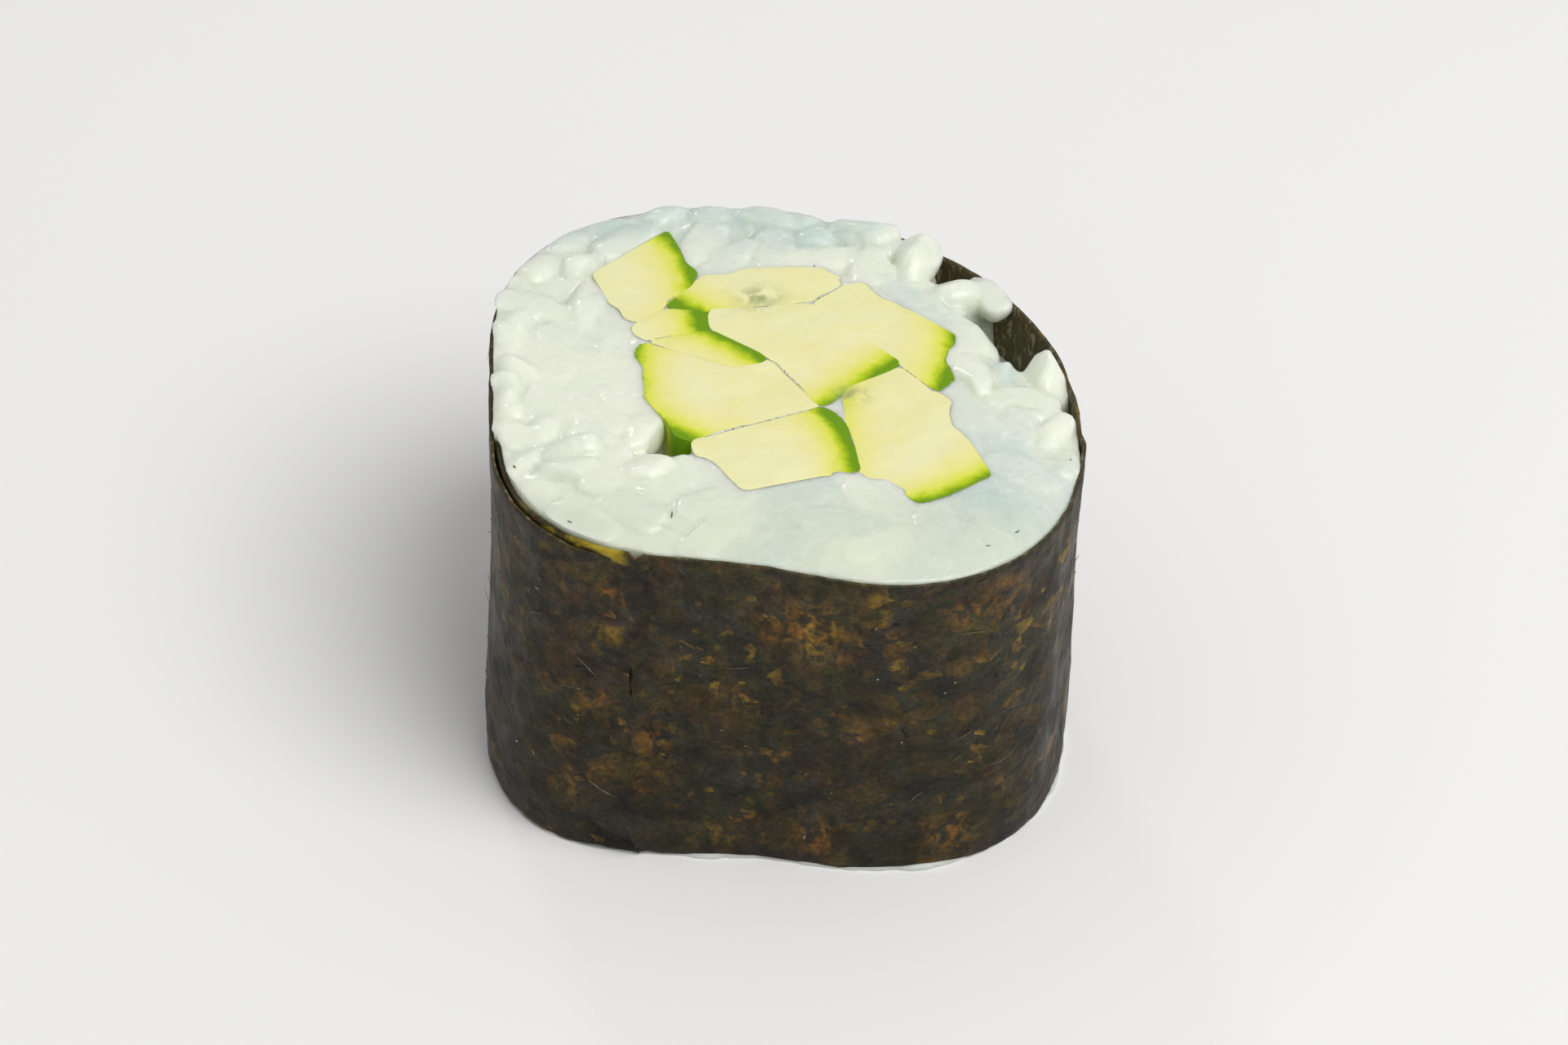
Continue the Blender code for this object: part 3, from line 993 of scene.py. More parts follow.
# Where grains keep their round form, as (x, y, radius) in mm and a strength from 0 to 1.
# Elsewhere the knife has sliced them flush and smeared them.
ROUND_PATCHES = np.array([
    (-17.4, 4.6, 2.9, 0.95), (-17.6, -1.8, 3.0, 0.95), (-15.2, -8.2, 3.6, 0.90),
    (-8.6, -7.6, 3.4, 0.90), (-11.5, -12.6, 2.8, 0.35), (-14.6, 11.6, 4.0, 0.60),
    (-10.0, 16.6, 3.8, 0.70), (-3.6, 18.6, 3.4, 0.75), (3.6, 18.0, 3.8, 0.85),
    (-2.0, 14.4, 4.6, 0.28), (5.6, 13.4, 3.2, 0.35), (8.6, 14.6, 3.2, 1.0),
    (12.4, 10.6, 3.4, 0.95), (9.6, 9.2, 2.2, 0.35), (16.9, 1.8, 2.8, 1.0),
    (13.6, 1.8, 3.0, 0.45), (17.6, -4.0, 2.6, 0.85), (14.4, -6.8, 2.6, 0.22),
    (4.0, -15.4, 4.6, 0.12), (-5.6, -13.6, 3.4, 0.20), (-12.8, 8.6, 2.8, 0.75),
])
# Pockets between the grains, as (x, y, radius, depth) in mm.
POCKETS = np.array([
    (11.2, 14.0, 2.2, 4.6), (15.2, 6.1, 2.5, 4.8), (14.2, 8.8, 2.3, 4.6), (18.2, -0.4, 0.9, 3.0),
    (-6.9, -6.0, 1.6, 3.4), (-6.3, 6.9, 1.1, 1.6),
])
# Grains with a place of their own, as (x, y, height of the middle over the cut face, in
# mm, heading and lift in degrees, length and width against a usual grain).
PLACED_GRAINS = np.array([
    (-13.1, 7.6, -0.98, 86, 4, 1.30, 1.15),
    (-13.3, -9.8, -0.92, 10, 3, 1.0, 0.98),
    (-9.0, -4.9, -1.00, 84, -6, 0.98, 1.05),
    (-8.6, -9.9, -0.95, 30, 10, 0.85, 1.05),
    (-6.2, -10.2, -0.88, 100, 10, 0.85, 0.95),
    (-12.2, -12.9, -1.30, -28, 0, 1.0, 1.05),
    (-15.4, -6.5, -0.92, 70, 5, 0.95, 0.95),
    (-13.1, -6.3, -1.32, 80, 0, 0.85, 1.0),
    (-11.0, -7.2, -1.22, 115, 4, 0.80, 0.95),
    (-17.4, 4.6, -0.92, 80, 0, 0.90, 1.05),
    (-16.9, 0.2, -0.95, 120, 4, 0.80, 1.0),
    (-17.3, -3.4, -0.95, 95, 4, 0.85, 1.05),
    (4.6, 17.0, -0.80, -12, 4, 1.05, 1.15),
    (8.1, 14.0, -0.50, 74, 14, 1.05, 1.10),
    (10.5, 10.8, -1.10, 20, 4, 0.85, 1.05),
    (13.0, 11.2, -0.72, -62, 12, 0.84, 0.90),
    (11.9, 6.1, -1.35, -70, 0, 1.0, 1.1),
    (13.4, 1.6, -1.20, 75, 12, 0.90, 1.0),
    (16.7, 2.1, -0.62, 98, 24, 0.92, 1.02),
    (17.2, -3.5, -0.85, 62, 12, 0.85, 0.95),
])


def flushness(x, y):
    """1 where the knife sliced the grains flush, 0 where they are whole."""
    away = np.hypot(
        x[..., None] - ROUND_PATCHES[:, 0] * MM, y[..., None] - ROUND_PATCHES[:, 1] * MM
    )
    shares = away / (ROUND_PATCHES[:, 2] * MM)
    whole = ROUND_PATCHES[:, 3] * (1.0 - smooth_step(0.65, 1.15, shares))
    return 1.0 - whole.max(axis=-1)


def pocket_depth(x, y):
    """How far the rice falls away inside the pockets."""
    away = np.hypot(x[..., None] - POCKETS[:, 0] * MM, y[..., None] - POCKETS[:, 1] * MM)
    shares = away / (POCKETS[:, 2] * MM)
    return ((1.0 - smooth_step(0.85, 1.25, shares)) * POCKETS[:, 3] * MM).max(axis=-1)


def unit_vectors(headings, lifts):
    """Directions with this heading in the plane and this lift above it, in radians."""
    level = np.cos(lifts)
    return np.stack([level * np.cos(headings), level * np.sin(headings), np.sin(lifts)], axis=-1)


def grain_spheres(centres, axes, reach):
    """Three ball centres along each grain: its middle and towards its ends."""
    steps = np.array([-1.0, 0.0, 1.0])[None, :, None] * reach[:, None, None]
    return centres[:, None, :] + axes[:, None, :] * steps


def rim_grains(rng):
    """Rows like those of the placed grains, for grains that lie along the rim from the
    back round to the left, a little outside it, and hide it."""
    count = RIM_GRAINS
    turns = np.radians(np.linspace(68.0, 220.0, count)) + rng.normal(0.0, 0.03, count)
    x, y = np.cos(turns), np.sin(turns)
    span = inner_radius(x, y, face_height(0.0, 0.0)) - rng.uniform(0.75, 1.15, count) * MM
    heading = np.degrees(turns) + 90.0 + rng.normal(0.0, 22.0, count)
    height = rng.uniform(-1.15, -0.80, count)
    lift = rng.normal(0.0, 9.0, count)
    length = rng.uniform(0.72, 0.98, count)
    width = rng.uniform(0.85, 1.0, count)
    return np.stack([span * x / MM, span * y / MM, height, heading, lift, length, width], axis=-1)


def starting_grains(settings, rng):
    """Middles, axes and sizes of the grains before they are pushed apart, heights against
    the cut face, and how many of them are placed: placed ones first, then loose ones
    strewn at random between the batons and the nori."""
    radius = 0.5 * settings.grain_width
    low, high = CAD_BOX
    tries = np.stack(
        [rng.uniform(low[i], high[i], GRAIN_TRIES) for i in (0, 1)]
        + [rng.uniform(-settings.depth, 0.5 * MM, GRAIN_TRIES)],
        axis=-1,
    )
    gap, _ = baton_gap(tries[:, :2])
    walls = inner_radius(tries[:, 0], tries[:, 1], face_height(tries[:, 0], tries[:, 1]))
    inside = np.hypot(tries[:, 0], tries[:, 1]) < walls - 0.7 * radius
    loose = tries[(gap > 0.6 * radius) & inside][:LOOSE_GRAINS]
    fixed = np.vstack([PLACED_GRAINS, rim_grains(rng)])
    placed = fixed[:, :3] * MM
    placed[:, 2] -= rim_drop(placed[:, 0], placed[:, 1])
    headings = rng.uniform(0.0, FULL_TURN, len(loose))
    lifts = np.arcsin(rng.uniform(-0.5, 0.5, len(loose)))
    axes = np.vstack([
        unit_vectors(np.radians(fixed[:, 3]), np.radians(fixed[:, 4])),
        unit_vectors(headings, lifts),
    ])
    lengths = rng.uniform(0.82, 1.12, len(loose))
    widths = rng.uniform(0.92, 1.08, len(loose))
    sizes = np.vstack([fixed[:, 5:7], np.stack([lengths, widths], axis=-1)])
    return np.vstack([placed, loose]), axes, sizes, len(placed)


def pack_grains(settings):
    """Middles, axes and sizes of the grains. They are pushed apart step by step, each as
    three balls in a row, until they barely press on each other, on the batons and on the
    nori. Placed grains stay. Loose ones in a pocket are left out."""
    rng = np.random.default_rng(settings.seed)
    centres, axes, sizes, placed = starting_grains(settings, rng)
    count = len(centres)
    radius = 0.5 * settings.grain_width
    reach = (0.5 * settings.grain_length * sizes[:, 0] - radius * sizes[:, 1]).clip(0.2 * MM)
    ball = np.repeat(radius * sizes[:, 1], 3)
    owner = np.repeat(np.arange(count), 3)
    apart = owner[:, None] != owner[None, :]
    touching = (ball[:, None] + ball[None, :]) * PRESSED
    free = np.arange(count) >= placed
    spread = np.repeat(rng.uniform(-0.25, 0.15, count), 3) * MM
    for _ in range(PACKING_STEPS):
        balls = grain_spheres(centres, axes, reach).reshape(-1, 3)
        between = balls[:, None, :] - balls[None, :, :]
        distance = np.sqrt((between**2).sum(axis=2)) + 1e-9
        overlap = np.where(apart, np.clip(touching - distance, 0.0, None), 0.0)
        push = (between / distance[..., None] * overlap[..., None]).sum(axis=1) * 0.5
        gap, away = baton_gap(balls[:, :2])
        push[:, :2] += away * np.clip(ball * PRESSED_ON_BATON - gap, 0.0, None)[:, None]
        x, y = balls[:, 0], balls[:, 1]
        span = np.hypot(x, y)
        limit = inner_radius(x, y, balls[:, 2] + face_height(x, y)) - ball * PRESSED_ON_NORI
        push[:, :2] -= balls[:, :2] / span[:, None] * np.clip(span - limit, 0.0, None)[:, None]
        ceiling = FLUSH_CEILING + (WHOLE_CEILING - FLUSH_CEILING) * (1.0 - flushness(x, y))
        push[:, 2] -= np.clip(balls[:, 2] - ceiling - spread + rim_drop(x, y), 0.0, None)
        push[:, 2] += np.clip(-settings.depth - balls[:, 2], 0.0, None)
        push = push.reshape(-1, 3, 3)
        move = push.mean(axis=1) * 0.9
        swing = (push[:, 2] - push[:, 0]) / (2.0 * reach[:, None])
        centres = centres + np.where(free[:, None], move, 0.0)
        turned = axes + np.where(free[:, None], swing * 0.5, 0.0)
        near_top = smooth_step(-3.5 * MM, -1.5 * MM, centres[:, 2])
        turned[:, 2] *= np.where(free, 1.0 - LAID_FLAT * near_top, 1.0)
        axes = turned / np.linalg.norm(turned, axis=1, keepdims=True)
    centres[:, 2] += face_height(centres[:, 0], centres[:, 1])
    ends = centres[:, None, :] + axes[:, None, :] * (reach[:, None, None] * [[[-1.3], [1.3]]])
    keep = pocket_depth(centres[:, 0], centres[:, 1]) < 0.6 * MM
    keep &= pocket_depth(ends[..., 0], ends[..., 1]).max(axis=1) < 2.0 * MM
    keep |= ~free
    return SimpleNamespace(centres=centres[keep], axes=axes[keep], sizes=sizes[keep])


def grain_form():
    """Rings of one grain, 1 long and 1 wide: along it the width follows a blunt oval,
    a little fuller at one end, the section is flattened, and the back is bowed."""
    station = np.cos(np.linspace(np.pi, 0.0, GRAIN_STATIONS + 2)[1:-1])
    width = (1.0 - np.abs(station) ** 2.5) ** 0.5 * (1.0 + 0.07 * station)
    side = np.linspace(0.0, FULL_TURN, GRAIN_SIDES, endpoint=False)
    along = np.repeat(station[:, None], GRAIN_SIDES, axis=1) * 0.5
    across = width[:, None] * np.cos(side)[None, :] * 0.5
    up = width[:, None] * np.sin(side)[None, :] * 0.46 - 0.10 * station[:, None] ** 2 + 0.05
    rings = np.stack([along, across, up], axis=-1).reshape(-1, 3)
    poles = np.array([(-0.5, 0.0, -0.05), (0.5, 0.0, -0.05)])
    return np.vstack([rings, poles])


def pressed_flat(points, centres, along, across, over, length, width, rng):
    """The grains with flats where their neighbours pressed on them: whatever of a grain
    stands beyond one of its random planes is brought back to that plane. Most planes face
    sideways, the last two face the grain's ends."""
    count = len(points)
    place = points - centres[:, None, :]
    for number in range(SIDE_FLATS + 2):
        turn = FULL_TURN * (number + rng.uniform(-0.35, 0.35, count)) / SIDE_FLATS
        way = across * np.cos(turn)[:, None] + over * np.sin(turn)[:, None]
        if number < SIDE_FLATS:
            way = way + along * rng.uniform(-0.45, 0.45, count)[:, None]
            reach = 0.5 * width * rng.uniform(*SIDE_FLAT_SHARE, count)
        else:
            end = 1.0 if number == SIDE_FLATS else -1.0
            way = along * end + way * rng.uniform(0.0, 0.6, count)[:, None]
            reach = 0.5 * length * rng.uniform(*END_FLAT_SHARE, count)
        way = way / np.linalg.norm(way, axis=1, keepdims=True)
        beyond = np.clip((place * way[:, None, :]).sum(axis=2) - reach[:, None], 0.0, None)
        place = place - way[:, None, :] * (0.92 * beyond[..., None])
    return place + centres[:, None, :]


def grain_meshes(grains, settings, seed):
    """Points and faces of many grains: the one form, scaled, rolled about its length,
    turned to each grain's axis, dented unevenly, and pressed flat by its neighbours."""
    rng = np.random.default_rng(seed)
    count = len(grains.centres)
    form = grain_form()
    roll = rng.uniform(0.0, FULL_TURN, count)
    along = grains.axes
    guide = np.where(np.abs(along[:, 2:3]) < 0.9, [[0.0, 0.0, 1.0]], [[1.0, 0.0, 0.0]])
    side = np.cross(guide, along)
    side /= np.linalg.norm(side, axis=1, keepdims=True)
    up = np.cross(along, side)
    across = side * np.cos(roll)[:, None] + up * np.sin(roll)[:, None]
    over = np.cross(along, across)
    length = settings.grain_length * grains.sizes[:, 0]
    width = settings.grain_width * grains.sizes[:, 1]
    points = (
        grains.centres[:, None, :]
        + along[:, None, :] * (form[None, :, 0:1] * length[:, None, None])
        + across[:, None, :] * (form[None, :, 1:2] * width[:, None, None])
        + over[:, None, :] * (form[None, :, 2:3] * width[:, None, None])
    )
    apart = np.arange(count)[:, None, None] * np.array([[[0.037, 0.011, 0.023]]])
    dents = layered_noise(points + apart, 1.6 * MM, 51, 2)
    points += (points - grains.centres[:, None, :]) * (DENTS * dents[..., None])
    points = pressed_flat(points, grains.centres, along, across, over, length, width, rng)
    return points, *many_shells(count, GRAIN_STATIONS, GRAIN_SIDES)


def sliced(points, grains, seed):
    """The grains' points, with what stands above the knife's path brought down to it. The
    path differs a little from grain to grain, and whole grains keep their form."""
    rng = np.random.default_rng(seed)
    count = len(points)
    x, y, z = points[..., 0], points[..., 1], points[..., 2]
    middle_x, middle_y = grains.centres[:, 0:1], grains.centres[:, 1:2]
    flush = flushness(middle_x[:, 0], middle_y[:, 0])[:, None]
    offset = rng.normal(0.0, PATH_SCATTER, count)[:, None]
    lean = rng.normal(0.0, PATH_LEAN, (count, 2))
    path = face_height(x, y) - rim_drop(x, y) + offset - PATH_DEPTH
    path += lean[:, 0:1] * (x - middle_x) + lean[:, 1:2] * (y - middle_y)
    above = np.clip(z - path, 0.0, None)
    points[..., 2] = z - above * (1.0 - (1.0 - flush) ** 2)
    return points


def rice_lapping(x, y):
    """0 where the rice stops short of a baton's edge, up to 1 where it laps over it."""
    return smooth_step(-0.1, 1.1, layered_noise(flat_points(x, y), 1.9 * MM, 83, 2))


def core_rings(settings):
    """Rings of the pressed rice under the grains: a slab that fills what is more than a
    little below the face, hollowed at the pockets, out to the nori."""
    turn = np.linspace(0.0, FULL_TURN, CORE_SPOKES, endpoint=False)[None, :]
    share = np.linspace(1.0, 1.0 / CORE_RINGS, CORE_RINGS)[:, None]
    plane_x, plane_y = np.cos(turn), np.sin(turn)
    face = face_height(0.0, 0.0)
    bulge = bulge_share(turn)
    reach = inner_radius(plane_x, plane_y, face) - 0.05 * MM + 0.25 * MM * bulge
    x, y = share * reach * plane_x, share * reach * plane_y
    uneven = layered_noise(flat_points(x, y), 2.6 * MM, 31, 2)
    flush = flushness(x, y)
    sunk = (0.50 - 0.41 * flush) * MM + uneven * (0.22 - 0.18 * flush) * MM
    sunk -= 0.30 * MM * smooth_step(0.93, 1.0, share) * bulge * (1.0 - flush)
    gap, _ = baton_gap(np.stack([x, y], axis=-1).reshape(-1, 2))
    near = 1.0 - smooth_step(0.0, 0.9 * MM, gap.reshape(x.shape))
    sunk -= (0.13 + 0.16 * rice_lapping(x, y)) * MM * flush * near
    top = face_height(x, y) - sunk - pocket_depth(x, y) - rim_drop(x, y)
    floor = face_height(x, y) - settings.depth - 1.2 * MM
    upper = np.stack([x, y, top], axis=-1)
    lower = np.stack([x, y, floor], axis=-1)[::-1]
    return np.vstack([lower, upper])


def join_batons_cutter():
    """One closed mesh of straight prisms through the piece, one for each baton. Where a
    baton's side is free the prism stays a little inside it, so that rice laps unevenly
    over its edge."""
    low, high = CAD_BOX[0][2] - 5.0 * MM, CAD_BOX[1][2] + 5.0 * MM
    points, quads, fans = [], [], []
    start = 0
    for name, outline in OUTLINES.items():
        lapping = rice_lapping(*outline.T)
        inset = 0.05 * MM + (0.01 + 0.40 * lapping) * MM * free_side(name)
        moved = outline - outline_normals(outline) * inset[:, None]
        rings = np.stack([np.column_stack([moved, np.full(len(moved), z)]) for z in (low, high)])
        middle = moved.mean(axis=0)
        points.append(np.vstack([rings.reshape(-1, 3), [(*middle, low)], [(*middle, high)]]))
        sides, ends = shell_faces(2, len(moved))
        quads.append(sides + start)
        fans.append(ends + start)
        start += len(points[-1])
    return mesh_from("batons_cutter", np.vstack(points), np.vstack(quads), np.vstack(fans))


def cut_batons_out(target):
    """Cuts the batons' room out of an object, which is then a plain mesh."""
    cutter = add_object("batons_cutter", join_batons_cutter())
    cut = target.modifiers.new("batons", "BOOLEAN")
    cut.operation = "DIFFERENCE"
    cut.solver = "MANIFOLD"
    cut.object = cutter
    mesh = finished_mesh(target, target.data.name)
    bpy.data.objects.remove(cutter, do_unlink=True)
    return mesh


def nearest_grains(points, grains, reach):
    """For each point, the two grains whose rows of balls are nearest, and how much farther
    off the second is."""
    balls = grain_spheres(grains.centres, grains.axes, reach).reshape(-1, 3)
    found = []
    margins = []
    for part in np.array_split(points, len(points) // 4000 + 1):
        squares = (part**2).sum(1)[:, None] + (balls**2).sum(1)[None] - 2.0 * part @ balls.T
        away = np.sqrt(np.clip(squares, 0.0, None)).reshape(len(part), -1, 3).min(axis=2)
        two = np.argpartition(away, 1, axis=1)[:, :2]
        far = np.take_along_axis(away, two, axis=1)
        two = np.where(far[:, :1] > far[:, 1:], two[:, ::-1], two)
        found.append(two)
        margins.append(np.abs(far[:, 1] - far[:, 0]))
    return np.vstack(found), np.concatenate(margins)


def tone_rice(mesh, grains, settings):
    """Stores each point's tone, from 0 chalky to 1 translucent, one random tone a grain, with a
    painted bluish shade at the back rim, where thin grains show the shade behind them, and a
    clearer tone over the front right; how deep it lies below the cut face, which the material
    paints as shade; and how near it is to the seam between two grains, which the material also
    paints as shade and which the front is all, so the front gets painted shade too. Seams on the
    sliced parts are dented a little."""
    points = mesh_points(mesh)
    reach = 0.35 * settings.grain_length * np.ones(len(grains.centres))
    rng = np.random.default_rng(settings.seed + 5)
    tones = 0.8 * rng.uniform(0.0, 1.0, len(grains.centres)) ** 1.4
    pair, margin = nearest_grains(points, grains, reach)
    own = 0.5 + 0.5 * smooth_step(0.0, 0.8 * MM, margin)
    tone = tones[pair[:, 0]] * own + tones[pair[:, 1]] * (1.0 - own)
    x, y = points[:, 0], points[:, 1]
    edge = smooth_step(13.0 * MM, 18.0 * MM, y) * (1.0 - smooth_step(5.0 * MM, 8.0 * MM, x))
    right = smooth_step(4.0 * MM, 13.0 * MM, x) * smooth_step(-3.0 * MM, -9.0 * MM, y)
    strip = smooth_step(-5.0 * MM, -9.0 * MM, x) * smooth_step(-14.0 * MM, -9.0 * MM, y)
    strip *= 1.0 - smooth_step(6.0 * MM, 9.0 * MM, y)
    flush = flushness(x, y)
    below = face_height(x, y) - points[:, 2]
    seam = 1.0 - smooth_step(0.05 * MM, 0.55 * MM, margin)
    seam *= 0.1 + 0.9 * smooth_step(-0.1, 0.6, lattice_noise(points, 3.0 * MM, 91))
    seam *= 1.0 - 0.85 * strip
    top = 1.0 - smooth_step(0.5 * MM, 1.0 * MM, below)
    points[:, 2] -= SEAM_DEPTH * seam * flush * top
    move_points(mesh, points)
    tone = tone * (1.0 - 0.5 * seam) * (1.0 - 0.65 * strip)
    # Painted shade: a bluish tone at the back rim, where thin grains show the shade behind them;
    # a clearer tone over the front right.
    tone += 0.85 * edge + 0.60 * right
    set_attribute(mesh, "tone", np.clip(tone, 0.0, 1.0))
    # Painted shade: the material darkens the rice by this depth below the cut face.
    set_attribute(mesh, "deep", smooth_step(0.9 * MM, 4.0 * MM, below))
    # Painted shade: the material darkens the seams by this, and the whole front.
    set_attribute(mesh, "seam", np.maximum(seam, smooth_step(-8.0 * MM, -15.0 * MM, y)))


def keep_inside_nori(mesh):
    """Brings points that pressed through the nori back to its inner wall. Above the rim
    they may bulge out a little."""
    points = mesh_points(mesh)
    x, y, z = points.T
    span = np.hypot(x, y)
    turn = np.arctan2(y, x)
    over_rim = np.clip(z - ROLL.rim(turn), 0.0, None)
    most = (0.22 + 0.43 * bulge_share(turn)) * MM
    limit = inner_radius(x, y, z) - 0.02 * MM + np.minimum(1.2 * over_rim, most)
    points[:, :2] *= np.minimum(1.0, limit / np.maximum(span, 1e-6))[:, None]
    move_points(mesh, points)


def make_rice_face(settings, material):
    """The cut face of the rice: packed grains, sliced where the knife went, and the slab
    under them, fused on a fine grid, smoothed, and cut round the batons."""
    grains = pack_grains(settings)
    points, quads, fans = grain_meshes(grains, settings, settings.seed + 1)
    points = sliced(points, grains, settings.seed + 2)
    rings = core_rings(settings)
    poles = [rings[0].mean(axis=0)], [rings[-1].mean(axis=0)]
    slab_quads, slab_fans = shell_faces(*rings.shape[:2])
    points = points.reshape(-1, 3)
    start = len(points)
    mesh = mesh_from(
        "rice_face",
        np.vstack([points, rings.reshape(-1, 3), *poles]),
        np.vstack([quads, slab_quads + start]),
        np.vstack([fans, slab_fans + start]),
    )
    fused = add_object("rice_face", mesh)
    remesh = fused.modifiers.new("fuse", "REMESH")
    remesh.mode = "VOXEL"
    remesh.voxel_size = settings.voxel
    soften = fused.modifiers.new("soften", "SMOOTH")
    soften.factor = 0.5
    soften.iterations = 3
    mesh = finished_mesh(fused, "rice_face")
    keep_inside_nori(mesh)
    mesh = cut_batons_out(add_object("rice_face", mesh))
    mesh.shade_smooth()
    tone_rice(mesh, grains, settings)
    return place_piece("rice_face", mesh, material, ("rice", "rice_caught"))


def make_rice_body(settings, material):
    """The rice below the face: out to the nori's inner wall, with a fringe that swells
    out under the sheet's foot, and low grain-sized domes underneath."""
    turn = np.linspace(0.0, FULL_TURN, BODY_SPOKES, endpoint=False)[None, :]
    top = face_height(0.0, 0.0) - settings.depth - 0.6 * MM
    height = top * np.linspace(0.0, 1.0, 26)[:, None] ** 1.8 + 0.05 * MM
    wall = inner_radius(np.cos(turn), np.sin(turn), height) - 0.04 * MM
    ragged = layered_noise(points_around(18.0 * MM, turn, height), 2.2 * MM, 71, 3)
    under = 1.0 - smooth_step(0.15 * MM, 0.5 * MM, height)
    span = wall + under * (0.28 + 0.30 * ragged) * MM
    inward = np.linspace(0.02, 0.985, 22)[:, None]
    base = points_around(span[:1] * inward, turn, 0.0)
    domes = layered_noise(base, 2.8 * MM, 77, 2)
    relief = np.clip(0.12 * MM - 0.22 * MM * domes, 0.0, 0.5 * MM)
    base[..., 2] = relief * smooth_step(1.0, 0.93, inward)
    sides = points_around(span, turn, height)
    lid = points_around(span[-1:] * np.linspace(0.97, 0.05, 8)[:, None], turn, height[-1])
    rings = np.concatenate([base, sides, lid])
    mesh = closed_shell("rice_body", rings, (0.0, 0.0, base[0, :, 2].mean()), (0.0, 0.0, top))
    mesh = cut_batons_out(add_object("rice_body", mesh))
    mesh.shade_smooth()
    points = mesh_points(mesh)
    set_attribute(mesh, "tone", 0.3 + 0.2 * lattice_noise(points, 3.0 * MM, 79))
    for label in ("deep", "seam"):
        set_attribute(mesh, label, np.zeros(len(points)))
    return place_piece("rice_body", mesh, material)


# ---------------------------------------------------------------- cucumber


# For each baton the arcs of skin on it, as (direction in which the skin faces, in degrees,
# how far it lies outside the baton's outline, radius of the arc, both in mm).
SKINS = {
    "cucumber_back_left": [(22.0, 0.10, 14.0)],
    "cucumber_back": [(-128.0, -0.25, 14.0)],
    "cucumber_sliver": [(10.0, -0.5, 14.0)],
    "cucumber_wedge": [(53.0, -0.1, 14.0)],
    "cucumber_left": [(-124.0, 0.15, 14.0), (182.0, 0.55, 24.0)],
    "cucumber_middle": [(-40.0, 0.25, 40.0)],
    "cucumber_right": [(-11.0, 0.0, 14.0)],
    "cucumber_front": [(19.0, -0.25, 14.0)],
    "cucumber_front_right": [(-53.0, 0.1, 14.0), (178.0, 1.1, 40.0)],
}
# Places with a grey-green smudge, as (x, y, radius) in mm.
SMUDGES = np.array([(-1.8, 8.8, 1.3), (4.4, -1.2, 1.0)])


def rind_depth(name, x, y):
    """Depth below the skin, in units of 5 mm: how far inside each arc of skin a place
    lies, the least of them. An arc's middle is one radius back from the skin's outermost
    point."""
    outline = OUTLINES[name]
    depths = []
    for turn, outside, radius in SKINS[name]:
        heading = np.radians(turn)
        out = np.array([np.cos(heading), np.sin(heading)])
        skin = outline[outline @ out > (outline @ out).max() - 0.9 * MM]
        middle = skin.mean(axis=0) - out * (radius - 0.15 - outside) * MM
        depths.append(radius * MM - np.hypot(x - middle[0], y - middle[1]))
    return np.clip(np.min(depths, axis=0), 0.0, None) / (5.0 * MM)


def make_baton(name, settings, material):
    """One baton: its outline carried up from the foot to the cut face, then over a rounded
    edge and inwards in rings over a slightly domed and swelling top that follows the cut
    face. Batons that touch differ by a small step in height."""
    outline = OUTLINES[name]
    out = outline_normals(outline)
    middle = outline.mean(axis=0)
    rise = BATON_STEP * (BATON_NODES.index(name) % 3)
    edge = settings.edge * (0.2 + 0.8 * free_side(name)[:, None])

    def ring(places, lift):
        return np.column_stack([places, face_height(*places.T) + rise + lift])

    rings = []
    for level in np.linspace(0.0, 1.0, BATON_LEVELS):
        rings.append(ring(outline, -edge[:, 0]) * (1.0, 1.0, level))
    for angle in np.linspace(0.0, 0.5 * np.pi, EDGE_STEPS)[1:]:
        places = outline - out * edge * (1.0 - np.cos(angle))
        rings.append(ring(places, -edge[:, 0] * (1.0 - np.sin(angle))))
    for share in np.linspace(0.97, 0.04, TOP_RINGS):
        places = middle + (outline - out * edge - middle) * share
        rings.append(ring(places, BATON_DOME * (1.0 - share**4)))
    rings = np.array(rings)
    height = rings[..., 2]
    swell = layered_noise(rings * (1, 1, 0), 3.2 * MM, 100, 3) * BATON_SWELL
    rings[..., 2] = height + swell * smooth_step(0.6, 0.98, height / height.max())
    mesh = closed_shell(name, rings, (*middle, 0.0), (*middle, rings[-1, :, 2].mean()))
    x, y, z = mesh_points(mesh).T
    # Painted light: walls below the cut face sit in shade, so their skin is shifted towards the
    # lighter rind colours.
    below = smooth_step(0.3 * MM, 1.2 * MM, face_height(x, y) - z)
    set_attribute(mesh, "rind_depth", rind_depth(name, x, y) + 0.09 * below)
    spots = np.hypot(x[:, None] - SMUDGES[:, 0] * MM, y[:, None] - SMUDGES[:, 1] * MM)
    smudge = np.exp(-((spots / (SMUDGES[:, 2] * MM)) ** 2)).max(axis=1)
    set_attribute(mesh, "smudge", smudge)
    return place_piece(name.replace("cucumber", "baton"), mesh, material, (name,))


# ---------------------------------------------------------------- nori


def end_wander(share):
    """How far the sheet's torn end wanders from upright, as a turn."""
    heights = np.stack([0 * share, 0 * share, share * SHEET_HEIGHT], axis=-1)
    return 0.035 * layered_noise(heights, 3.6 * MM, 19, 4)


def sheet_place(settings, along, share):
    """Turn and outer radius of the sheet, for a turn `along` from its inner end and a
    share of its height: the outermost wall, or one layer further in over the overlap."""
    turn = ROLL.end_turn - settings.overlap + along
    outside = read_table(ROLL.outer, np.maximum(turn, ROLL.end_turn), share)
    last_turn = ROLL.outer[0][-1]
    covered = read_table(ROLL.outer, np.minimum(turn + FULL_TURN, last_turn), share)
    step = settings.overlap + end_wander(share)
    inner = smooth_step(step + 0.025, step - 0.015, along)
    layer = settings.thickness + 0.10 * MM
    return turn, outside * (1.0 - inner) + (covered - layer) * inner


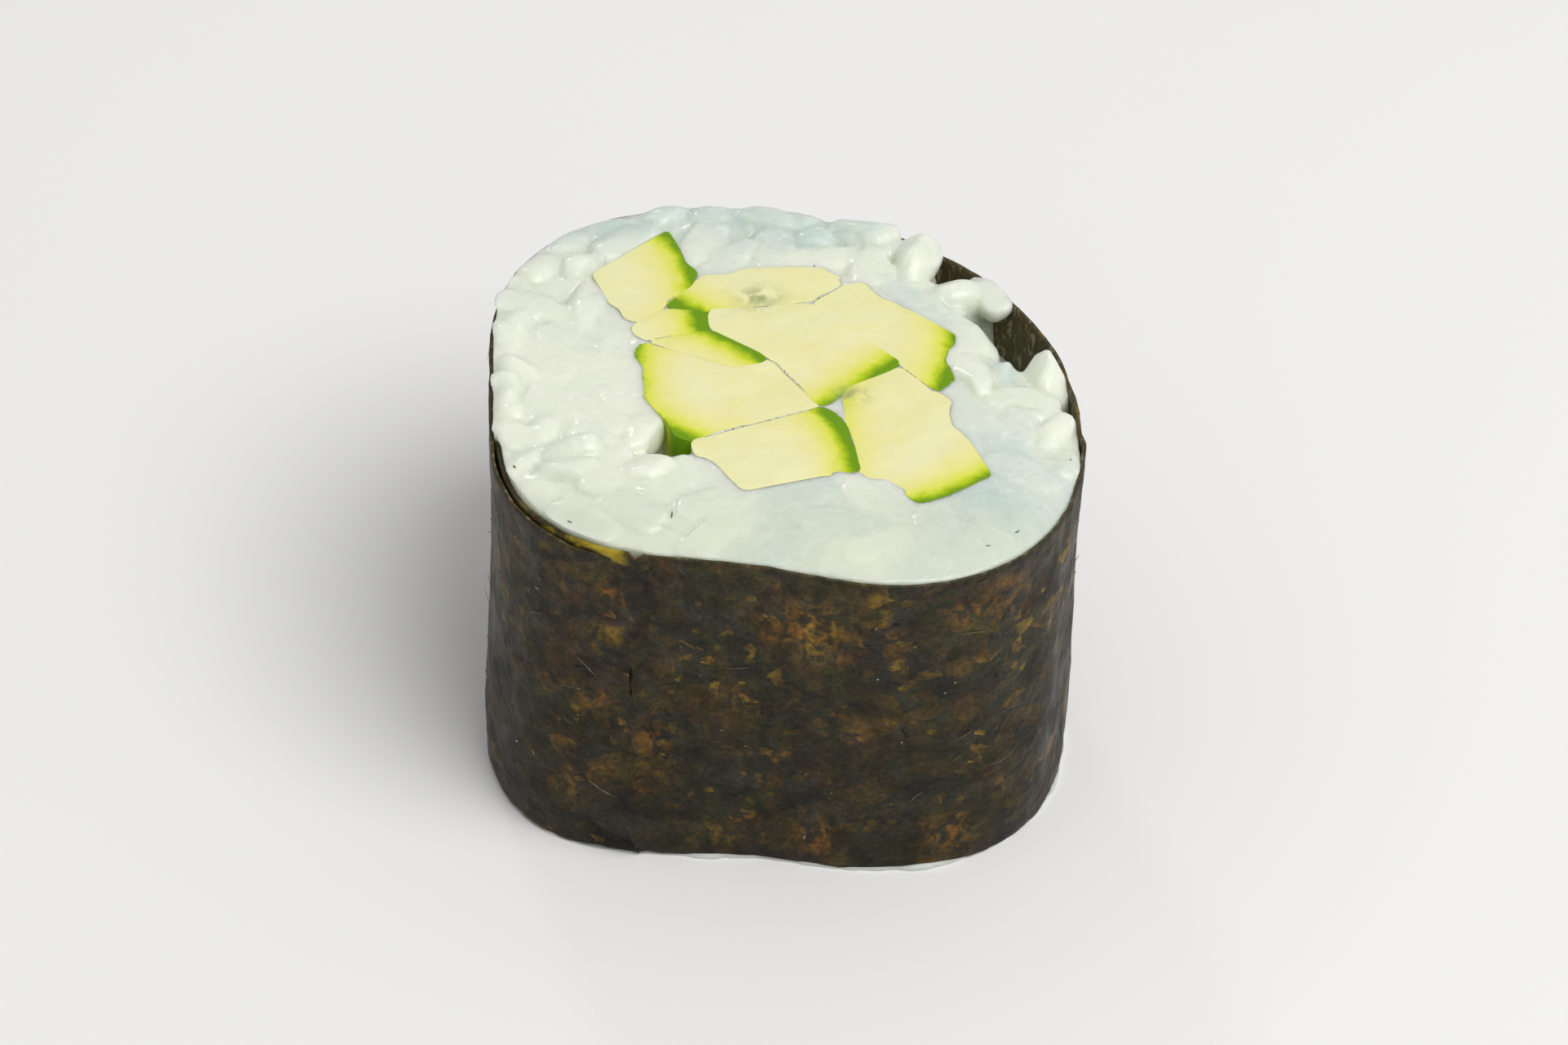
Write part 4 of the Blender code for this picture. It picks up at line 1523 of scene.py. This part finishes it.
def sheet_section():
    """The section's outline, once round: down the outside, round the foot, up the inside
    and over the rim. Gives the share of the height, the place across the thickness, and
    how far the rounded ends stick out, in half thicknesses."""
    down = np.linspace(1.0, 0.0, OUTSIDE_STEPS)
    up = np.linspace(0.0, 1.0, INSIDE_STEPS)
    across = np.array([0.15, 0.5, 0.85])
    bulge = np.array([0.7, 1.0, 0.7])
    share = np.concatenate([down, 0 * across, up, 0 * across + 1.0])
    side = np.concatenate([0 * down, across, 0 * up + 1.0, across[::-1]])
    end = np.concatenate([0 * down, -bulge, 0 * up, bulge])
    return share[None, :], side[None, :], end[None, :]


# Thin amber places of the sheet, as (direction in degrees, height, radius in mm, strength).
AMBER_SPOTS = np.array([
    (-82.7, 19.6, 2.3, 1.0), (-121.0, 21.0, 1.0, 0.7), (-123.0, 17.3, 1.0, 0.7),
    (-124.0, 12.1, 1.0, 0.7), (-99.0, 13.2, 1.2, 0.6), (-114.6, 9.6, 1.4, 0.6),
    (-128.3, 4.8, 1.2, 0.8), (-101.6, 2.0, 1.3, 0.7), (-81.3, 2.4, 1.6, 0.8),
    (-59.2, 2.2, 1.8, 0.9), (-56.8, 20.8, 1.1, 0.6), (-49.0, 5.2, 0.6, 1.0),
    (-49.0, 20.4, 2.2, 0.45), (60.0, 15.0, 1.8, 0.8), (140.0, 7.0, 2.0, 0.8),
    (20.0, 9.0, 1.5, 0.7), (190.0, 18.0, 1.6, 0.7), (100.0, 19.0, 1.2, 0.6),
])


def amber_share(turn, radius, height):
    """How strongly a place of the sheet is amber: the strongest of the soft spots."""
    share = np.zeros(turn.shape)
    for heading, middle, size, strength in AMBER_SPOTS:
        swing = (turn - np.radians(heading) + np.pi) % FULL_TURN - np.pi
        away = np.hypot(swing * radius, height - middle * MM) / (size * MM)
        share = np.maximum(share, strength * np.exp(-(away**2)))
    return share


def make_nori_sheet(settings, material):
    """The sheet: the section of a thin upright wall, carried along the spiral. It is
    wrinkled where it clings to the grains, ragged at rim and foot, and thins out where
    its outer end is pressed down."""
    overlap = settings.overlap
    sweep = FULL_TURN + overlap
    along = np.linspace(0.0, sweep, SHEET_ROWS)[:, None]
    share, side, end = sheet_section()
    turn, radius = sheet_place(settings, along + 0 * share, share + 0 * along)
    last = smooth_step(sweep - 0.30, sweep - 0.02, along)
    thickness = settings.thickness * (1.0 - 0.65 * last)
    turn = turn + last * end_wander(share)
    length = radius.mean()
    arc = np.concatenate([along * length, 0 * along, 0 * along], axis=1)
    wave = layered_noise(arc, 3.0 * MM, 11, 3)[:, None]
    foot_wave = layered_noise(arc, 2.0 * MM, 17, 3)[:, None]
    over_flap = np.clip((along - sweep + 0.75) / 0.60, 0.0, 1.0)
    back = smooth_step(-0.5, 0.6, np.cos(turn[:, :1] - LOW_RIM_TURN))
    rim = ROLL.rim(turn[:, :1]) + (0.07 * wave - 0.10 - 0.60 * back) * MM - FLAP_DROP * over_flap
    foot = SHEET_FOOT + 0.12 * MM * (foot_wave + 0.2)
    height = foot + (rim - foot) * share + end * 0.5 * thickness
    cloth = np.stack([along * length + 0 * height, height, 0 * height], axis=-1)
    upright = layered_noise(cloth * (1.0, 0.35, 1.0), 2.6 * MM, 23, 3)
    grainy = lattice_noise(cloth, 2.4 * MM, 29)
    tiny = lattice_noise(cloth, 0.7 * MM, 37)
    streaks = layered_noise(cloth * (1.0, 0.14, 1.0), 1.6 * MM, 43, 3)
    corner = smooth_step(0.90, 0.99, np.cos(turn - STREAKED_CORNER))
    waves = 0.55 * upright + 0.5 * grainy + 0.16 * tiny + 1.2 * corner * streaks
    covered = smooth_step(overlap + 0.3, overlap, along)
    lift = settings.wrinkle * waves * (1.0 - covered) * (1.0 - 0.85 * last)
    radius = radius + lift - 0.02 * MM - side * thickness - PRESSED_END * last
    points = points_around(radius, turn, height)
    mesh = closed_shell("nori_sheet", points, points[0].mean(axis=0), points[-1].mean(axis=0))
    cloth = cloth.reshape(-1, 3)
    cloth = np.vstack([cloth, cloth[:1], cloth[-1:]]) / MM
    corners = np.empty(len(mesh.loops), np.int32)
    mesh.loops.foreach_get("vertex_index", corners)
    layer = mesh.uv_layers.new(name="sheet")
    layer.data.foreach_set("uv", cloth[corners, :2].astype(np.float32).ravel())
    flap = smooth_step(overlap + 0.02, overlap - 0.01, along)
    flap = flap * (1.0 - smooth_step(0.55 * MM, 0.95 * MM, rim - height))
    flap = flap * smooth_step(0.30 * overlap, 0.85 * overlap, along)
    flap = flap * smooth_step(overlap, 0.95 * overlap, along)
    amber = amber_share(turn, radius, height)
    for label, values in (("flap", flap), ("amber", amber), ("inside", side + 0 * along)):
        set_attribute(mesh, label, np.append(values.ravel(), [0.0, 0.0]))
    return place_piece("nori_sheet", mesh, material, ("nori",))


def curved_slivers(starts, headings, ups, lengths, widths, bends):
    """Points and faces of many thin closed slivers lying on a surface: a six-sided section
    carried along a bent line, tapering to a point at both ends."""
    count = len(starts)
    station = np.linspace(-1.0, 1.0, 9)[1:-1]
    angle = np.linspace(0.0, FULL_TURN, 6, endpoint=False)
    side = np.cross(ups, headings)
    along = station[None, :, None] * 0.5 * lengths[:, None, None]
    sway = bends[:, None, None] * (station[None, :, None] ** 2 - 0.3)
    line = starts[:, None, :] + headings[:, None, :] * along + side[:, None, :] * sway
    thick = widths[:, None] * (1.0 - np.abs(station[None, :]) ** 2) ** 0.5 * 0.5
    ring = (
        side[:, None, None, :] * np.cos(angle)[None, None, :, None]
        + ups[:, None, None, :] * np.sin(angle)[None, None, :, None] * 0.5
    )
    points = line[:, :, None, :] + ring * thick[:, :, None, None]
    ends = np.array([-1.0, 1.0])
    tips = (
        starts[:, None, :]
        + headings[:, None, :] * (ends[None, :, None] * 0.5 * lengths[:, None, None])
        + side[:, None, :] * (bends[:, None, None] * 0.7)
    )
    points = np.concatenate([points.reshape(count, -1, 3), tips], axis=1)
    return points.reshape(-1, 3), *many_shells(count, len(station), len(angle))


def make_nori_threads(settings, material):
    """Threads and flakes that lie on the outside of the sheet, most of them short."""
    rng = np.random.default_rng(41)
    count = THREADS
    along = rng.uniform(settings.overlap, FULL_TURN + settings.overlap - 0.05, count)
    share = rng.uniform(0.04, 0.96, count)
    turn, radius = sheet_place(settings, along, share)
    height = SHEET_FOOT + (ROLL.rim(turn) - SHEET_FOOT) * share
    ups = points_around(1.0, turn, 0.0)
    starts = points_around(radius, turn, height) + ups * 0.03 * MM
    slant = rng.normal(0.0, 0.7, count)
    headings = unit_vectors(turn + 0.5 * np.pi, slant)
    long_ones = rng.uniform(0, 1, count) < 0.30
    long_lengths, short_lengths = rng.uniform(1.0, 2.6, count), rng.uniform(0.12, 0.4, count)
    lengths = np.where(long_ones, long_lengths, short_lengths) * MM
    long_widths, short_widths = rng.uniform(0.04, 0.08, count), rng.uniform(0.06, 0.14, count)
    widths = np.where(long_ones, long_widths, short_widths) * MM
    bends = rng.normal(0.0, 0.10, count) * lengths
    slivers = curved_slivers(starts, headings, ups, lengths, widths, bends)
    return place_piece("nori_threads", mesh_from("nori_threads", *slivers), material)


# Specks of nori on the rice, as (x, y) in mm, heading in degrees, length and width in mm.
SPECKS = np.array([
    (-6.6, -14.3, 86, 0.85, 0.09), (12.5, 8.8, 20, 0.28, 0.16), (14.9, -14.0, 42, 0.40, 0.08),
    (13.1, -15.6, 10, 0.30, 0.07), (-12.9, -14.9, -30, 0.35, 0.10), (18.2, -6.2, 78, 0.25, 0.09),
    (-16.6, -9.8, 120, 0.30, 0.13), (1.6, 12.8, 64, 0.20, 0.09),
])


def make_rice_specks(rice_face, material):
    """Specks of nori, each laid on the rice straight below its place."""
    tree = BVHTree.FromObject(rice_face, bpy.context.evaluated_depsgraph_get())
    down = Vector((0.0, 0.0, -1.0))
    hits = [tree.ray_cast(Vector((x, y, FAR_OUT)), down) for x, y in SPECKS[:, :2] * MM]
    starts = np.array([hit[0] for hit in hits])
    ups = np.array([hit[1] for hit in hits])
    headings = unit_vectors(np.radians(SPECKS[:, 2]), np.zeros(len(SPECKS)))
    headings -= ups * (headings * ups).sum(axis=1, keepdims=True)
    headings /= np.linalg.norm(headings, axis=1, keepdims=True)
    lengths, widths = SPECKS[:, 3] * MM, SPECKS[:, 4] * MM
    slivers = curved_slivers(starts, headings, ups, lengths, widths, 0.08 * lengths)
    return place_piece("rice_specks", mesh_from("rice_specks", *slivers), material)


# ---------------------------------------------------------------- stage


def make_stage(settings):
    """The floor, the lights and the camera, aimed at the middle of the piece."""
    low, high = CAD_BOX
    steps = np.linspace(-0.5 * FLOOR_SIZE, 0.5 * FLOOR_SIZE, FLOOR_STEPS)
    points = flat_points(*np.meshgrid(steps, steps)).reshape(-1, 3) + (0.0, 0.0, low[2])
    faces = grid_quads(FLOOR_STEPS, FLOOR_STEPS, False)
    floor = add_object("floor", mesh_from("floor", points, faces))
    floor.data.materials.append(floor_material(settings))
    scene = bpy.context.scene
    world = bpy.data.worlds.new("studio")
    world.use_nodes = True
    background = world.node_tree.nodes["Background"]
    background.inputs["Color"].default_value = (1.0, 1.0, 0.99, 1.0)
    background.inputs["Strength"].default_value = 0.45
    scene.world = world
    middle = (low + high) * 0.5
    for name, place, size, power in LIGHTS:
        add_light(name, middle + Vector(place), middle, size, power)
    camera = bpy.data.cameras.new("camera")
    camera.lens = settings.lens
    camera.clip_start = 0.01
    stand = add_object("camera", camera)
    aim = middle + Vector((0.0, 0.0, 0.4 * MM))
    away = Vector(unit_vectors(settings.azimuth - 0.5 * np.pi, settings.elevation))
    stand.location = Vector((0.0, 0.0, face_height(0.0, 0.0))) + away * settings.distance
    stand.rotation_euler = (aim - stand.location).to_track_quat("-Z", "Y").to_euler()
    scene.camera = stand
    scene.view_settings.view_transform = "Standard"
    return floor


def add_light(name, place, target, size, power):
    """A soft round light, aimed at a point."""
    light = bpy.data.lights.new(name, "AREA")
    light.shape = "DISK"
    light.size = size
    light.energy = power
    lamp = add_object(name, light)
    lamp.location = place
    lamp.rotation_euler = (target - place).to_track_quat("-Z", "Y").to_euler()


# ---------------------------------------------------------------- operators


class MAKI_OT_rice(Operator):
    """Make the pressed rice: its cut face and its body"""

    bl_idname = "maki.rice"
    bl_label = "Rice"

    def execute(self, context):
        settings = context.scene.maki_rice
        material = rice_material(settings)
        make_rice_face(settings, material)
        make_rice_body(settings, material)
        return {"FINISHED"}


class MAKI_OT_cucumber(Operator):
    """Make the cucumber batons"""

    bl_idname = "maki.cucumber"
    bl_label = "Cucumber"

    def execute(self, context):
        settings = context.scene.maki_cucumber
        material = cucumber_material(settings)
        for name in BATON_NODES:
            make_baton(name, settings, material)
        return {"FINISHED"}


class MAKI_OT_nori(Operator):
    """Make the nori sheet and the threads on it"""

    bl_idname = "maki.nori"
    bl_label = "Nori"

    def execute(self, context):
        settings = context.scene.maki_nori
        make_nori_sheet(settings, nori_material(settings))
        make_nori_threads(settings, thread_material())
        rice_face = bpy.data.objects.get("rice_face")
        if rice_face is None:
            raise RuntimeError("make the rice first: the specks of nori lie on it")
        make_rice_specks(rice_face, speck_material())
        return {"FINISHED"}


class MAKI_OT_stage(Operator):
    """Make the floor, the lights and the camera"""

    bl_idname = "maki.stage"
    bl_label = "Stage"

    def execute(self, context):
        make_stage(context.scene.maki_stage)
        return {"FINISHED"}


class MAKI_PT_panel(Panel):
    """Lists the settings and the steps that make the piece"""

    bl_label = "Cucumber maki roll"
    bl_idname = "MAKI_PT_panel"
    bl_space_type = "VIEW_3D"
    bl_region_type = "UI"
    bl_category = "Maki"

    def draw(self, context):
        for operator, name, _ in STEPS:
            box = self.layout.box()
            box.operator(operator.bl_idname)
            settings = getattr(context.scene, name)
            for setting in settings.__annotations__:
                box.prop(settings, setting)


# The steps in their order, each with the name of its settings and their group.
STEPS = (
    (MAKI_OT_rice, "maki_rice", RiceSettings),
    (MAKI_OT_cucumber, "maki_cucumber", CucumberSettings),
    (MAKI_OT_nori, "maki_nori", NoriSettings),
    (MAKI_OT_stage, "maki_stage", StageSettings),
)


def register():
    """Makes the settings, the steps and the panel known to Blender."""
    for operator, name, group in STEPS:
        bpy.utils.register_class(group)
        setattr(bpy.types.Scene, name, PointerProperty(type=group))
        bpy.utils.register_class(operator)
    bpy.utils.register_class(MAKI_PT_panel)


def unregister():
    """Takes them away again, in the opposite order."""
    bpy.utils.unregister_class(MAKI_PT_panel)
    for operator, name, group in reversed(STEPS):
        bpy.utils.unregister_class(operator)
        delattr(bpy.types.Scene, name)
        bpy.utils.unregister_class(group)


def main():
    """Makes everything, step by step."""
    register()
    bpy.ops.maki.rice()
    bpy.ops.maki.cucumber()
    bpy.ops.maki.nori()
    bpy.ops.maki.stage()


if __name__ == "__main__":
    main()
